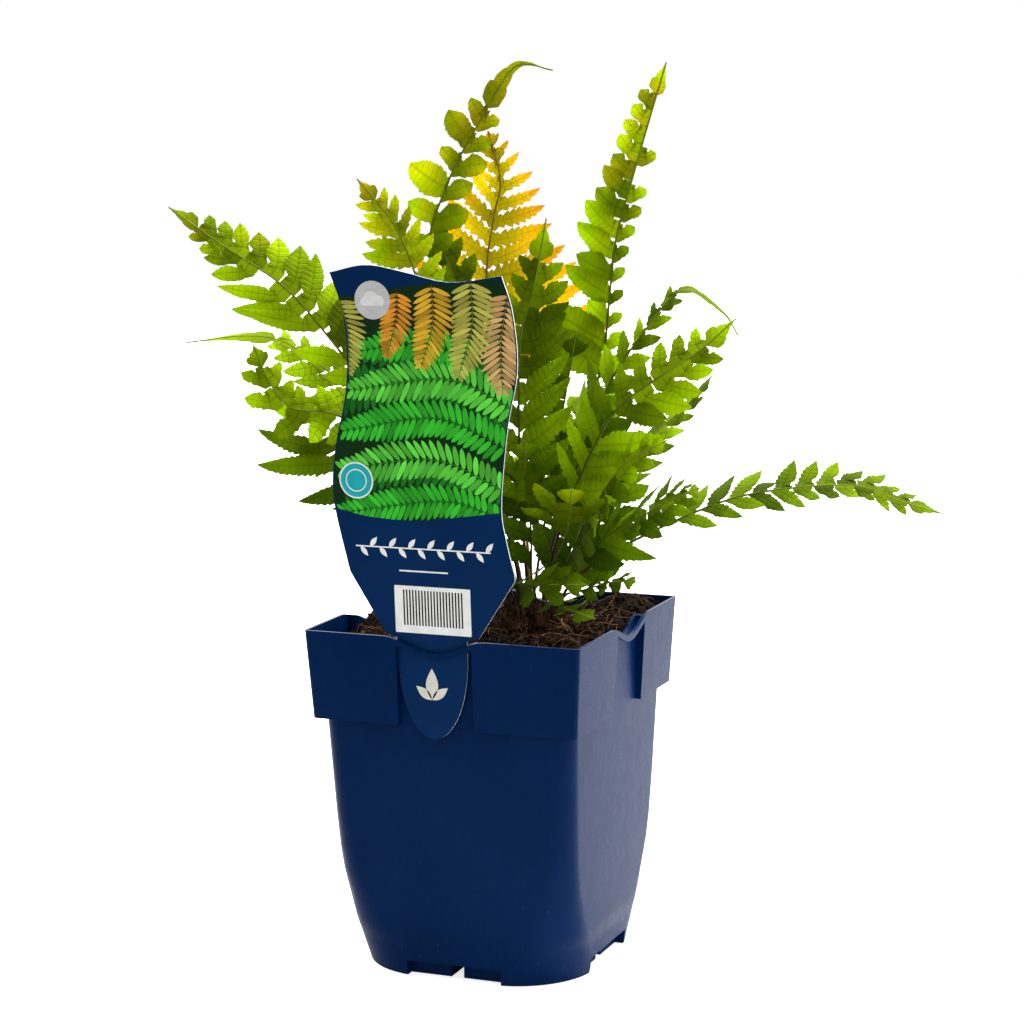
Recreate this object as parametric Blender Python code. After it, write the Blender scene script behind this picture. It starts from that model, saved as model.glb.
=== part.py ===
"""Autumn fern in a square nursery pot of peat, with its plant label.

The driving sizes below are in millimetres, and add_solid turns them into Blender's metres.
+Z is up, -Y is the front, and the origin is the middle of the pot's underside, where it stands.
"""

import math

import bpy
import numpy as np
from mathutils import Vector
from mathutils.bvhtree import BVHTree
from mathutils.geometry import tessellate_polygon

MM = 0.001
CLEARANCE = 0.3  # between two pieces that touch
OVERSHOOT = 5.0  # how far a cutter reaches past what it cuts

# Pot: a moulded square pot, 130 mm across the rim, whose corners grow rounder towards the foot.
POT_HEIGHT = 157.0
POT_WALL = 1.4
CORNER_STEPS = 4
# Height, half width across the flats and corner radius, from the foot to the collar's underside.
BODY_SECTIONS = ((0.0, 53.6, 36.0), (18.0, 55.2, 27.0), (33.0, 56.0, 20.0), (57.0, 57.2, 12.0),
                 (117.0, 59.5, 8.0))
COLLAR_HEIGHT = 40.0
COLLAR_HALF_FOOT = 62.6
COLLAR_HALF_RIM = 65.0
COLLAR_CORNER = 2.2
FLOOR = 1.6

# Label slot, one in the middle of each side: the rim dips, a strip bridges a recess in the collar.
SLOT_CENTRE = -2.7  # along the side, away from the front right corner
SLOT_HALF = 17.9
SLOT_FRONT = 63.1  # the strip's back, from the pot's axis
SLOT_BACK = 60.2  # the recessed panel
STRIP_HEIGHT = 2.8
DIP_DEPTH = 6.5
DIP_HALF = 25.0
DIP_STEPS = 12

# Foot: a wide notch under each side, and a channel from it towards a flat pad in the middle.
NOTCH_HALF = 22.5
NOTCH_HEIGHT = 7.0
NOTCH_BACK = 48.7
CHANNEL_HALF = 3.0
PAD_RADIUS = 13.0
DRAIN_RADIUS = 2.4
DRAIN_AT = 30.0

# Peat: its mean level, then mounds as x, y, height and spread.
SOIL_LEVEL = 149.0
SOIL_MOUNDS = (
    (13.0, 12.0, 4.0, 24.0),
    (47.0, 46.0, 9.0, 13.0),
    (-52.0, -4.0, 7.5, 9.0),
    (-34.0, 40.0, 4.0, 16.0),
    (20.0, -48.0, -1.5, 14.0),
    (51.0, 8.0, 2.5, 9.0),
)
SOIL_RINGS = (0.86, 0.68, 0.48, 0.28, 0.12)

# Crown: the short scaly rhizome that every frond grows from, half sunk in the peat.
CROWN_CENTRE = (13.0, 10.0, 149.5)
CROWN_RADII = (20.0, 19.5, 10.5)
CROWN_SEGMENTS = 12
CROWN_RINGS = 6
ROOT_HEIGHT = 151.5  # where every stipe starts, inside its socket
SOCKET_DEPTH = 12.0  # the straight foot of every stipe, past the crown's top

# Label: a flat plastic tag that leans forward out of the front slot, its tongue hanging through it.
LABEL_THICKNESS = 0.7
LABEL_Y = -62.2
LABEL_FOLD = 148.0  # height at which the tongue starts to hang straight
LABEL_LEAN = math.radians(3.0)
TONGUE_CENTRE = -3.7
TONGUE_HALF = 16.4
TONGUE_LENGTH = 36.0
SHOULDER = (8.6, 10.0)  # the tag widens between these heights above the fold, just clear of the rim
SHOULDER_WIDER = 5.5
# Points across and up the tag, from the fold: the right edge upwards, the top edge, the left edge down.
LABEL_RIGHT = ((36.3, 37.3), (32.5, 54.0), (30.8, 70.0), (34.8, 103.0), (40.0, 128.0), (38.6, 152.0),
               (34.1, 167.4))
LABEL_TOP = ((34.1, 167.4), (10.0, 164.4), (-10.0, 168.3), (-28.0, 171.2), (-45.5, 167.7))
LABEL_LEFT = ((-45.5, 167.7), (-39.5, 147.0), (-39.6, 119.0), (-46.5, 90.0), (-48.0, 68.0), (-41.8, 37.0))

# Fronds: half width and half depth of a stipe at its root and of the rachis at its tip.
STEM_ROOT = (1.05, 0.95)
STEM_TIP = (0.45, 0.42)
BLADE_HALF = 0.33  # half the thickness of a pinna
TAPER = 0.85  # how straight a pinna's sides run to its tip
PROBE_MARGIN = 0.28  # kept between two pinnae in one plane
FOLIAGE_FLOOR = 160.0  # no pinna hangs lower than this, so all stay clear of rim and peat
AIR = 0.45  # kept between a pinna and whatever is beside it
LOBE_PITCH = 10.5
MOST_LOBES = 5
LOBE_GAP = 0.16  # depth of the notches between lobes, in parts of the half width, unless a plan says
LOBE_PEAK = 0.75  # where a lobe's tip lies, from the notch before it to the one after
LOBE_SINK = 0.12  # how far a lobe's tip hangs, in parts of the half width
LOUVRE = 2.1  # how far apart neighbours that overlap are held, by tilting both like slats
CROWDING = 0.85  # most half width of a pinna, in parts of the way to the next one
WING = 0.3  # how far the blade's wing reaches along each pinna near the frond's tip, unless a plan says
WING_TAKEN = 0.8  # part of the wing's reach that is taken off its pinna's length
WING_START = 0.3  # part of the blade at which the rachis starts to be winged
WING_GROWTH = 2.5  # how fast it then reaches its full size
STAGGER = 0.15  # how much further on the left pinna of a pair stands, in parts of the way to the next pair
FORWARD_BEND = 0.12  # how far a pinna's tip bends on to the frond's tip, in parts of its length
BASE_HALF = 0.8  # half width that every pinna may have at the rachis
BASE_PART = 0.72  # half width at the rachis, in parts of the full one
BASE_GROWTH = 1.4  # how fast the half width then grows to the full one
# Ways to make room for a crowded pinna: lift in parts of its length, swing in degrees, part of its length
# kept and part of its width kept.
BENDS = (
    (0.0, 0, 1.0, 1.0), (0.22, 0, 1.0, 1.0), (-0.22, 0, 1.0, 1.0), (0.0, 9, 1.0, 1.0), (0.0, -9, 1.0, 1.0),
    (0.0, 0, 1.0, 0.7), (0.45, 0, 1.0, 0.8), (-0.45, 0, 1.0, 0.8), (0.3, 14, 0.9, 0.8), (-0.3, 14, 0.9, 0.8),
    (0.3, -14, 0.9, 0.8), (-0.3, -14, 0.9, 0.8), (0.0, 0, 1.0, 0.45), (0.15, 6, 1.0, 0.5), (-0.15, 6, 1.0, 0.5),
    (0.15, -6, 1.0, 0.5), (-0.15, -6, 1.0, 0.5), (0.7, 0, 0.8, 0.7), (-0.7, 0, 0.8, 0.7), (0.0, 0, 0.7, 0.6),
    (0.5, 20, 0.7, 0.7), (-0.5, 20, 0.7, 0.7), (0.0, 0, 0.5, 0.7), (0.5, 0, 0.5, 0.7), (-0.5, 0, 0.5, 0.7),
    (0.0, 0, 0.35, 0.6), (0.4, 0, 0.3, 0.6), (-0.4, 0, 0.3, 0.6),
)

FRONT = (0.37, -0.92, 0.16)

# Every frond: its route from the root, where its upper side faces at the root and at the tip, the bare
# part of its stem, its pairs of pinnae, their lengths on the left and on the right at even steps along
# the blade, their angles to the rachis on either side at its two ends, how far they droop, their breadth
# for their length at its two ends, how blunt they are, and how far the leaf has turned from green to copper.
FRONDS = {
    "frond_top_tall": dict(
        route=((9, 8), (4, 8, 190), (-15, 9, 234), (-34, 10, 313), (-28, 15, 348), (-12, 23, 381),
                (2, 27, 402), (19, 29, 400)), face=((0.1, -0.95, 0.2), FRONT), bare=0.6, pairs=10,
        left=(17, 12, 20, 9, 16, 7, 6, 4, 2, 1), right=(9, 18, 12, 15, 10, 8, 6, 4, 2, 1),
        sweep_left=(98, 34), sweep_right=(52, 32), droop=0.08, breadth=(0.8, 0.8), blunt=3.6, wing=0.24,
        notch=0.08, tone=0.35),
    "frond_top_copper": dict(
        route=((10, 17), (4, 27, 195), (-10, 37, 236), (-21, 45, 300), (-18, 47, 333), (-14, 46, 350),
                (-17, 39, 373)), face=(FRONT, FRONT), bare=0.5, pairs=13, left=(48, 41, 30, 19, 10, 3),
        right=(56, 47, 33, 21, 11, 3), sweep_left=(68, 54), sweep_right=(84, 56), droop=0.04,
        breadth=(0.24, 0.5), blunt=2.6, wing=0.08, notch=0.4, tone=1.0),
    "frond_top_left": dict(
        route=((4, 6), (-2, -1, 190), (-15, -8, 236), (-29, -10, 299), (-40, -10, 328), (-48, -11, 340),
                (-60, -11, 353)), face=(FRONT, FRONT), bare=0.62, pairs=11, left=(24, 23, 20, 15, 8, 2),
        right=(15, 16, 15, 11, 7, 2), sweep_left=(66, 42), sweep_right=(62, 40), droop=0.05,
        breadth=(0.4, 0.6), blunt=2.4, wing=0.2, notch=0.3, tone=0.45),
    "frond_centre_tall": dict(
        route=((14, 5), (14, 1, 190), (13, -1, 232), (14, -1, 281), (19, 3, 304), (23, 9, 335)),
        face=((0.6, -0.75, 0.2), (0.5, -0.8, 0.2)), bare=0.27, pairs=12, left=(20, 22, 20, 16, 12, 8, 2),
        right=(26, 30, 28, 24, 18, 9, 2), sweep_left=(68, 40), sweep_right=(66, 40), droop=0.12,
        breadth=(0.5, 0.65), blunt=2.0, tone=0.05),
    "frond_behind_label": dict(
        route=((6, 13), (-4, 20, 190), (-16, 26, 237), (-26, 28, 292), (-33, 27, 314), (-39, 25, 332)),
        face=(FRONT, FRONT), bare=0.55, pairs=7, left=(18, 16, 11, 4), right=(22, 19, 13, 4),
        sweep_left=(60, 40), sweep_right=(60, 40), droop=0.1, breadth=(0.5, 0.7), blunt=2.0, tone=0.1),
    "frond_left_long": dict(
        route=((3, 11), (-9, 2, 190), (-31, -12, 232), (-63, -26, 277), (-87, -31, 305), (-118, -37, 326),
                (-140, -40, 341)), face=((0.3, -0.75, 0.6), (0.3, -0.8, 0.5)), bare=0.42, pairs=15,
        left=(5, 12, 25, 33, 28, 17, 9, 5, 3), right=(30, 31, 27, 20, 13, 8, 3), sweep_left=(44, 28),
        sweep_right=(64, 46), droop=0.06, breadth=(0.6, 0.8), blunt=2.6, wing=0.34, notch=0.1, tone=0.3),
    "frond_left_thin": dict(
        route=((1, 17), (-12, 17, 192), (-37, 13, 228), (-76, 6, 258), (-102, 2, 276), (-121, -2, 280),
                (-150, -9, 277)), face=((0.15, -0.7, 0.7), (0.1, -0.35, 0.95)), bare=0.42, pairs=13,
        left=(24, 24, 17, 8, 5, 2), right=(22, 20, 14, 8, 5, 2), sweep_left=(64, 34), sweep_right=(64, 34),
        droop=0.08, breadth=(0.45, 0.7), blunt=2.4, notch=0.2, tone=0.2),
    "frond_left_front": dict(
        route=((7, 0), (-3, -14, 190), (-22, -33, 221), (-48, -52, 250), (-69, -65, 256), (-78, -68, 269),
                (-84, -69, 283)), face=((0.2, -0.6, 0.75), FRONT), bare=0.5, pairs=8,
        left=(14, 15, 16, 15, 10, 4), right=(16, 14, 12, 10, 8, 4), sweep_left=(66, 44),
        sweep_right=(70, 44), droop=0.08, breadth=(0.6, 0.65), blunt=3.0, tone=0.2),
    "frond_left_low": dict(
        route=((-2, 6), (-14, 3, 180), (-40, -5, 204), (-64, -9, 220), (-76, -10, 238), (-82, -12, 256)),
        face=((0.3, -0.8, 0.5), FRONT), bare=0.55, pairs=8, left=(22, 34, 38, 33, 22, 7),
        right=(20, 25, 24, 18, 10, 4), sweep_left=(52, 62), sweep_right=(56, 45), droop=0.06,
        breadth=(0.3, 0.5), blunt=2.4, tone=0.1),
    "frond_right_tall": dict(
        route=((17, 20), (20, 26, 190), (26, 34, 219), (35, 47, 268), (38, 50, 300), (41, 51, 325),
                (52, 53, 364), (64, 54, 403)), face=((-0.3, -0.9, 0.3), FRONT), bare=0.44, pairs=16,
        left=(42, 26, 21, 18, 13, 10, 7, 3), right=(12, 8, 7, 9, 8, 7, 5, 3), sweep_left=(76, 46),
        sweep_right=(46, 34), droop=0.06, breadth=(0.7, 1.0), blunt=3.0, wing=0.34, notch=0.08, tone=0.3),
    "frond_right_arch": dict(
        route=((20, 11), (25, 9, 190), (35, 8, 218), (49, 11, 257), (65, 18, 284), (81, 27, 303),
                (96, 37, 293), (102, 41, 282)), face=((-0.3, -0.7, 0.6), (0.0, -0.3, 0.95)), bare=0.42,
        pairs=11, left=(32, 24, 12, 7, 5, 2), right=(28, 18, 12, 7, 5, 2), sweep_left=(66, 34),
        sweep_right=(60, 34), droop=0.1, breadth=(0.5, 0.6), blunt=2.6, tone=0.15),
    "frond_right_bright": dict(
        route=((22, 4), (31, -4, 190), (44, -14, 217), (64, -19, 252), (82, -16, 267), (100, -7, 280),
                (113, 3, 293)), face=((-0.1, -0.85, 0.5), (0.1, -0.85, 0.4)), bare=0.38, pairs=11,
        left=(20, 20, 16, 14, 9, 3), right=(28, 31, 26, 18, 9, 3), sweep_left=(68, 42), sweep_right=(48, 34),
        droop=0.06, breadth=(0.5, 0.6), blunt=2.8, tone=0.35),
    "frond_right_back": dict(
        route=((22, 18), (26, 31, 185), (31, 49, 206), (49, 72, 229), (65, 85, 246), (74, 90, 258)),
        face=((-0.2, -0.4, 0.9), (-0.2, -0.35, 0.9)), bare=0.36, pairs=8, left=(24, 20, 11, 3),
        right=(26, 20, 11, 3), sweep_left=(64, 40), sweep_right=(64, 40), droop=0.1, breadth=(0.45, 0.6),
        blunt=2.2, tone=0.1),
    "frond_right_mid": dict(
        route=((25, 9), (36, -2, 182), (52, -17, 206), (71, -28, 230), (92, -28, 243)),
        face=((0.1, -0.6, 0.8), (0.2, -0.6, 0.75)), bare=0.34, pairs=8, left=(22, 20, 14, 4),
        right=(26, 22, 14, 4), sweep_left=(64, 42), sweep_right=(60, 40), droop=0.1, breadth=(0.5, 0.6),
        blunt=2.6, tone=0.3),
    "frond_centre_low": dict(
        route=((17, -1), (28, -10, 177), (40, -20, 192), (48, -31, 206), (52, -38, 222)),
        face=((0.37, -0.8, 0.5), (0.37, -0.88, 0.3)), bare=0.36, pairs=6, left=(22, 26, 22, 9),
        right=(20, 25, 22, 9), sweep_left=(64, 36), sweep_right=(64, 36), droop=0.06, breadth=(0.55, 0.65),
        blunt=3.0, tone=0.4),
    "frond_inner": dict(
        route=((18, 4.3), (21, -8, 177), (25, -18, 199), (26, -26, 218), (28, -32, 241)),
        face=((0.35, -0.9, 0.3), (0.35, -0.9, 0.3)), bare=0.34, pairs=6, left=(20, 22, 16, 5),
        right=(16, 23, 18, 5), sweep_left=(68, 42), sweep_right=(66, 42), droop=0.1, breadth=(0.6, 0.7),
        blunt=2.6, tone=0.0),
    "frond_inner_back": dict(
        route=((14, 12.5), (17, 16, 190), (21, 19, 220), (26, 22, 252), (31, 24, 282)),
        face=((0.35, -0.9, 0.3), (0.35, -0.9, 0.3)), bare=0.4, pairs=7, left=(20, 21, 16, 5),
        right=(24, 24, 17, 5), sweep_left=(66, 42), sweep_right=(64, 42), droop=0.1, breadth=(0.5, 0.65),
        blunt=2.6, tone=0.0),
    "frond_far_right": dict(
        route=((27, 15), (44, 23, 181), (84, 41, 202), (111, 54, 210), (147, 71, 212), (166, 79, 205),
                (186, 84, 199)), face=((-0.1, -0.5, 0.85), (0.0, -0.45, 0.9)), bare=0.38, pairs=13,
        left=(22, 24, 20, 16, 11, 3), right=(16, 17, 14, 11, 8, 3), sweep_left=(60, 38),
        sweep_right=(58, 38), droop=0.12, breadth=(0.45, 0.6), blunt=2.6, tone=0.25),
    "frond_right_low": dict(
        route=((27, 2), (40, -1, 180), (56, -3, 196), (78, -5, 209), (98, -1, 219)),
        face=((0.0, -0.6, 0.8), (0.0, -0.5, 0.85)), bare=0.38, pairs=9, left=(22, 22, 15, 4),
        right=(26, 24, 15, 4), sweep_left=(60, 40), sweep_right=(60, 40), droop=0.1, breadth=(0.42, 0.55),
        blunt=2.4, tone=0.2),
    "frond_low_front": dict(
        route=((11, -3), (13, -18, 172), (24, -37, 178), (42, -44, 180), (58, -37, 180)),
        face=((0.3, -0.6, 0.75), (0.2, -0.6, 0.75)), bare=0.4, pairs=5, left=(15, 15, 12, 5),
        right=(14, 14, 11, 5), sweep_left=(64, 46), sweep_right=(64, 46), droop=0.08, breadth=(0.65, 0.7),
        blunt=3.0, tone=0.15),
    "frond_low_small": dict(
        route=((21, -4), (31, -20, 168), (50, -36, 168), (64, -42, 166)),
        face=((0.2, -0.5, 0.85), (0.2, -0.5, 0.85)), bare=0.5, pairs=3, left=(10, 10, 8, 4),
        right=(9, 9, 8, 4), sweep_left=(58, 46), sweep_right=(58, 46), droop=0.05, breadth=(0.7, 0.7),
        blunt=3.0, tone=0.5),
    "frond_low_right": dict(
        route=((29.5, 7.5), (42, 8, 169), (54, 7, 173), (66, 6, 174)),
        face=((0.2, -0.5, 0.85), (0.2, -0.5, 0.85)), bare=0.45, pairs=4, left=(8, 9, 7, 3),
        right=(10, 10, 8, 3), sweep_left=(60, 46), sweep_right=(60, 46), droop=0.05, breadth=(0.6, 0.7),
        blunt=2.6, tone=0.2),
    "frond_low_back": dict(
        route=((24, 17), (29, 23, 179), (36, 27, 193), (44, 28, 207), (51, 27, 222)),
        face=((0.37, -0.9, 0.3), (0.37, -0.9, 0.2)), bare=0.26, pairs=6, left=(24, 25, 20, 7),
        right=(22, 24, 19, 7), sweep_left=(70, 38), sweep_right=(68, 38), droop=0.08, breadth=(0.6, 0.68),
        blunt=2.8, tone=0.0),
    "frond_back_left": dict(
        route=((6, 19), (-8, 36, 190), (-32, 58, 222), (-58, 76, 240), (-80, 88, 240)),
        face=((0.3, -0.3, 0.9), (0.2, -0.1, 0.97)), bare=0.36, pairs=8, left=(26, 22, 12, 3),
        right=(26, 22, 12, 3), sweep_left=(66, 42), sweep_right=(66, 42), droop=0.12, breadth=(0.42, 0.6),
        blunt=2.4, tone=0.1),
    "frond_back": dict(
        route=((14, 24), (12, 44, 195), (14, 68, 232), (20, 90, 250), (26, 108, 248)),
        face=((0.0, -0.4, 0.9), (0.0, 0.1, 0.99)), bare=0.36, pairs=8, left=(28, 24, 13, 3),
        right=(28, 24, 13, 3), sweep_left=(66, 42), sweep_right=(66, 42), droop=0.12, breadth=(0.42, 0.6),
        blunt=2.4, tone=0.15),
}


# ---------------------------------------------------------------- general helpers


def unit(vector):
    """The vector scaled to length 1."""
    return vector / np.linalg.norm(vector)


def blend(start, end, part):
    """A straight mix of two values or vectors."""
    return np.asarray(start, float) * (1 - part) + np.asarray(end, float) * part


def spline(points, steps, before=None):
    """A Catmull-Rom curve through the points, with that many steps between two, as if it came from before."""
    knots = np.asarray(points, float)
    if before is None:
        before = 2 * knots[0] - knots[1]
    knots = np.vstack((before, knots, 2 * knots[-1] - knots[-2]))
    curve = []
    for before, start, end, after in zip(knots, knots[1:], knots[2:], knots[3:]):
        square = 2 * before - 5 * start + 4 * end - after
        cube = 3 * start - before - 3 * end + after
        for t in np.arange(steps) / steps:
            curve.append(0.5 * (2 * start + (end - before) * t + square * t**2 + cube * t**3))
    curve.append(knots[-2])
    return np.array(curve)


def material(name, colour, roughness):
    """A plain Principled material, shared by every object that asks for its name."""
    made = bpy.data.materials.get(name) or bpy.data.materials.new(name)
    made.use_nodes = True
    shader = made.node_tree.nodes["Principled BSDF"]
    shader.inputs["Base Color"].default_value = (*colour, 1.0)
    shader.inputs["Roughness"].default_value = roughness
    made.diffuse_color = (*colour, 1.0)
    return made


def add_solid(name, points, faces, finish=None):
    """A mesh object from points in millimetres."""
    mesh = bpy.data.meshes.new(name)
    mesh.from_pydata([tuple(float(value) * MM for value in point) for point in points], [], faces)
    mesh.update()
    if finish:
        mesh.materials.append(finish)
    solid = bpy.data.objects.new(name, mesh)
    bpy.context.scene.collection.objects.link(solid)
    return solid


def combine(target, cutter, operation):
    """Apply one Boolean to the target and remove the cutter."""
    step = target.modifiers.new("combine", "BOOLEAN")
    step.operation = operation
    step.solver = "EXACT"
    step.object = cutter
    bpy.context.view_layer.objects.active = target
    bpy.ops.object.modifier_apply(modifier=step.name)
    bpy.data.objects.remove(cutter)


def loft(loops):
    """Faces that join closed loops of equal length, bottom first, with flat caps: (points, faces)."""
    count = len(loops[0])
    points = [point for loop in loops for point in loop]
    faces = [tuple(reversed(range(count)))]
    for level in range(len(loops) - 1):
        low = level * count
        for at in range(count):
            after = (at + 1) % count
            faces.append((low + at, low + after, low + count + after, low + count + at))
    faces.append(tuple(range(len(points) - count, len(points))))
    return points, faces


def split_alike(points, faces):
    """The same shape with every four-sided face cut along its first diagonal."""
    split = []
    for face in faces:
        split += [face] if len(face) != 4 else [face[:3], (face[0], face[2], face[3])]
    return points, split


def prism(outline, low, high):
    """An outline of (x, z) points, anticlockwise from the front, pushed through from y = low to y = high."""
    return loft([[(x, high, z) for x, z in outline], [(x, low, z) for x, z in outline]])


def box(x_range, y_range, z_range):
    """A box as (points, faces)."""
    left, right = x_range
    low, high = z_range
    return prism([(left, low), (right, low), (right, high), (left, high)], *y_range)


def thicken(points, normals, halves, triangles):
    """A closed solid from an open sheet: both faces split alike, and a wall along its edge."""
    points = np.asarray(points)
    shift = np.asarray(normals) * np.asarray(halves)[:, None]
    count = len(points)
    solid = np.vstack((points + shift, points - shift))
    faces = [tuple(face) for face in triangles]
    faces += [(a + count, c + count, b + count) for a, b, c in triangles]
    edges = {(face[i], face[(i + 1) % 3]) for face in triangles for i in range(3)}
    for a, b in sorted(edges):
        if (b, a) not in edges:
            faces += [(b, a, a + count), (b, a + count, b + count)]
    return solid, faces


# ---------------------------------------------------------------- pot and peat


def square_loop(z, half, radius):
    """A square loop with round corners, anticlockwise from above."""
    loop = []
    for quarter in range(4):
        centre_x = (half - radius) * (1 if quarter in (0, 3) else -1)
        centre_y = (half - radius) * (1 if quarter in (0, 1) else -1)
        for step in range(CORNER_STEPS + 1):
            angle = math.pi / 2 * (quarter + step / CORNER_STEPS)
            loop.append((centre_x + radius * math.cos(angle), centre_y + radius * math.sin(angle), z))
    return loop


def collar_section(z, inset):
    """The collar's section at this height: it widens evenly to the rim."""
    part = (z - POT_HEIGHT + COLLAR_HEIGHT) / COLLAR_HEIGHT
    return z, float(blend(COLLAR_HALF_FOOT, COLLAR_HALF_RIM, part)) - inset, COLLAR_CORNER - inset


def body_sections(inset):
    """The body's sections, moved inwards."""
    return [(z, half - inset, radius - inset) for z, half, radius in BODY_SECTIONS]


def pot_outside():
    """Loops of the pot's outer face, from the foot to the rim."""
    collar_foot = POT_HEIGHT - COLLAR_HEIGHT
    sections = body_sections(0.0) + [collar_section(collar_foot, 0.0), collar_section(POT_HEIGHT, 0.0)]
    return [square_loop(*section) for section in sections]


def inside_loops(inset, floor, top):
    """Loops of the pot's hollow, this far inside its outer face, with a ledge under the collar."""
    sections = body_sections(inset)
    foot, neck = sections[0], sections[-1]
    ledge = neck[0] + inset
    loops = [square_loop(floor, *foot[1:])]
    loops += [square_loop(*section) for section in sections[1:-1]]
    loops += [square_loop(ledge, *neck[1:]), square_loop(*collar_section(ledge, inset))]
    loops.append(square_loop(*collar_section(top, inset)))
    return loops


def around(points, faces):
    """Copies of a cutter for the four sides; the right side mirrors the front, and the back repeats both."""
    placed = []
    for a, b, c, d in ((1, 0, 0, 1), (0, -1, -1, 0), (-1, 0, 0, -1), (0, 1, 1, 0)):
        moved = [(a * x + b * y, c * x + d * y, z) for x, y, z in points]
        mirrored = a * d - b * c < 0
        placed.append((moved, [tuple(reversed(face)) for face in faces] if mirrored else faces))
    return placed


def dip_line(part):
    """How far the rim has sunk at this part of the dip, from -1 to 1 across it."""
    return DIP_DEPTH * 0.5 * (1 + math.cos(math.pi * part))


def slot_outline(grow):
    """The recess below the strip, as an outline seen from the front."""
    left = SLOT_CENTRE - SLOT_HALF - grow
    right = SLOT_CENTRE + SLOT_HALF + grow
    bottom = POT_HEIGHT - COLLAR_HEIGHT - OVERSHOOT
    outline = [(left, bottom), (right, bottom)]
    for step in range(DIP_STEPS // 2 + 1):
        x = right + (left - right) * step * 2 / DIP_STEPS
        outline.append((x, POT_HEIGHT - dip_line((x - SLOT_CENTRE) / DIP_HALF) - STRIP_HEIGHT))
    return outline


def dip_outline():
    """The dip in the rim, as an outline seen from the front."""
    above = POT_HEIGHT + OVERSHOOT
    outline = [(SLOT_CENTRE + DIP_HALF, above), (SLOT_CENTRE - DIP_HALF, above)]
    for step in range(DIP_STEPS + 1):
        part = 2 * step / DIP_STEPS - 1
        outline.append((SLOT_CENTRE + part * DIP_HALF, POT_HEIGHT - dip_line(part)))
    return outline


def pot_cutters():
    """What is moulded into the outside of the pot on every side."""
    beyond = COLLAR_HALF_RIM + OVERSHOOT
    yield from around(*prism(slot_outline(0.0), -beyond, -SLOT_BACK))
    slot_x = (SLOT_CENTRE - SLOT_HALF, SLOT_CENTRE + SLOT_HALF)
    yield from around(*box(slot_x, (-SLOT_FRONT, -SLOT_BACK), (POT_HEIGHT - 16.0, POT_HEIGHT + OVERSHOOT)))
    yield from around(*prism(dip_outline(), -beyond, 1.0 - SLOT_BACK + POT_WALL))
    yield from around(*box((-NOTCH_HALF, NOTCH_HALF), (-beyond, -NOTCH_BACK), (-OVERSHOOT, NOTCH_HEIGHT)))
    channel_y = (-NOTCH_BACK - 1.0, -PAD_RADIUS)
    yield from around(*box((-CHANNEL_HALF, CHANNEL_HALF), channel_y, (-OVERSHOOT, NOTCH_HEIGHT)))


def hollow_fillers(wall):
    """Blocks that the pot's hollow leaves out, so that every moulded feature keeps a wall behind it."""
    beyond = COLLAR_HALF_RIM + OVERSHOOT
    slot_x = (SLOT_CENTRE - SLOT_HALF - wall, SLOT_CENTRE + SLOT_HALF + wall)
    slot_z = (POT_HEIGHT - COLLAR_HEIGHT - 8.0, POT_HEIGHT + 9.0)
    yield from around(*box(slot_x, (-beyond, wall - SLOT_BACK), slot_z))
    notch = NOTCH_HALF + wall
    yield from around(*box((-notch, notch), (-beyond, wall - NOTCH_BACK), (-OVERSHOOT, NOTCH_HEIGHT + wall)))
    channel = CHANNEL_HALF + wall
    channel_y = (-NOTCH_BACK, wall - PAD_RADIUS)
    yield from around(*box((-channel, channel), channel_y, (-OVERSHOOT, NOTCH_HEIGHT + wall)))


def cut_all(target, cutters):
    """Cut a solid with each (points, faces) in turn."""
    for points, faces in cutters:
        combine(target, add_solid("cutter", points, faces), "DIFFERENCE")


def drain_holes():
    """A round hole through the roof of each channel."""
    for quarter in range(4):
        angle = math.pi / 2 * quarter
        x, y = DRAIN_AT * math.cos(angle), DRAIN_AT * math.sin(angle)
        ring = [(x + DRAIN_RADIUS * math.cos(turn), y + DRAIN_RADIUS * math.sin(turn))
                for turn in np.linspace(0, 2 * math.pi, 10, endpoint=False)]
        low, high = NOTCH_HEIGHT - 2.0, NOTCH_HEIGHT + POT_WALL + 2.0
        yield loft([[(px, py, low) for px, py in ring], [(px, py, high) for px, py in ring]])


def build_pot():
    """The moulded pot: outside, less its hollow, less the slots, notches, channels and drain holes."""
    pot = add_solid("pot", *loft(pot_outside()),
                    material("pot_blue", (0.012, 0.035, 0.105), 0.38))
    hollow = add_solid("hollow", *loft(inside_loops(POT_WALL, FLOOR, POT_HEIGHT + 3.0)))
    cut_all(hollow, hollow_fillers(POT_WALL))
    combine(pot, hollow, "DIFFERENCE")
    cut_all(pot, pot_cutters())
    cut_all(pot, drain_holes())
    return pot


def soil_height(x, y):
    """The peat's surface: its level, its mounds and a low roughness."""
    height = SOIL_LEVEL + 0.5 * math.sin(0.31 * x + 1.0) * math.cos(0.27 * y)
    height += 0.4 * math.sin(0.19 * x - 0.41 * y)
    for mound_x, mound_y, rise, spread in SOIL_MOUNDS:
        height += rise * math.exp(-((x - mound_x) ** 2 + (y - mound_y) ** 2) / (2 * spread**2))
    return height


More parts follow.
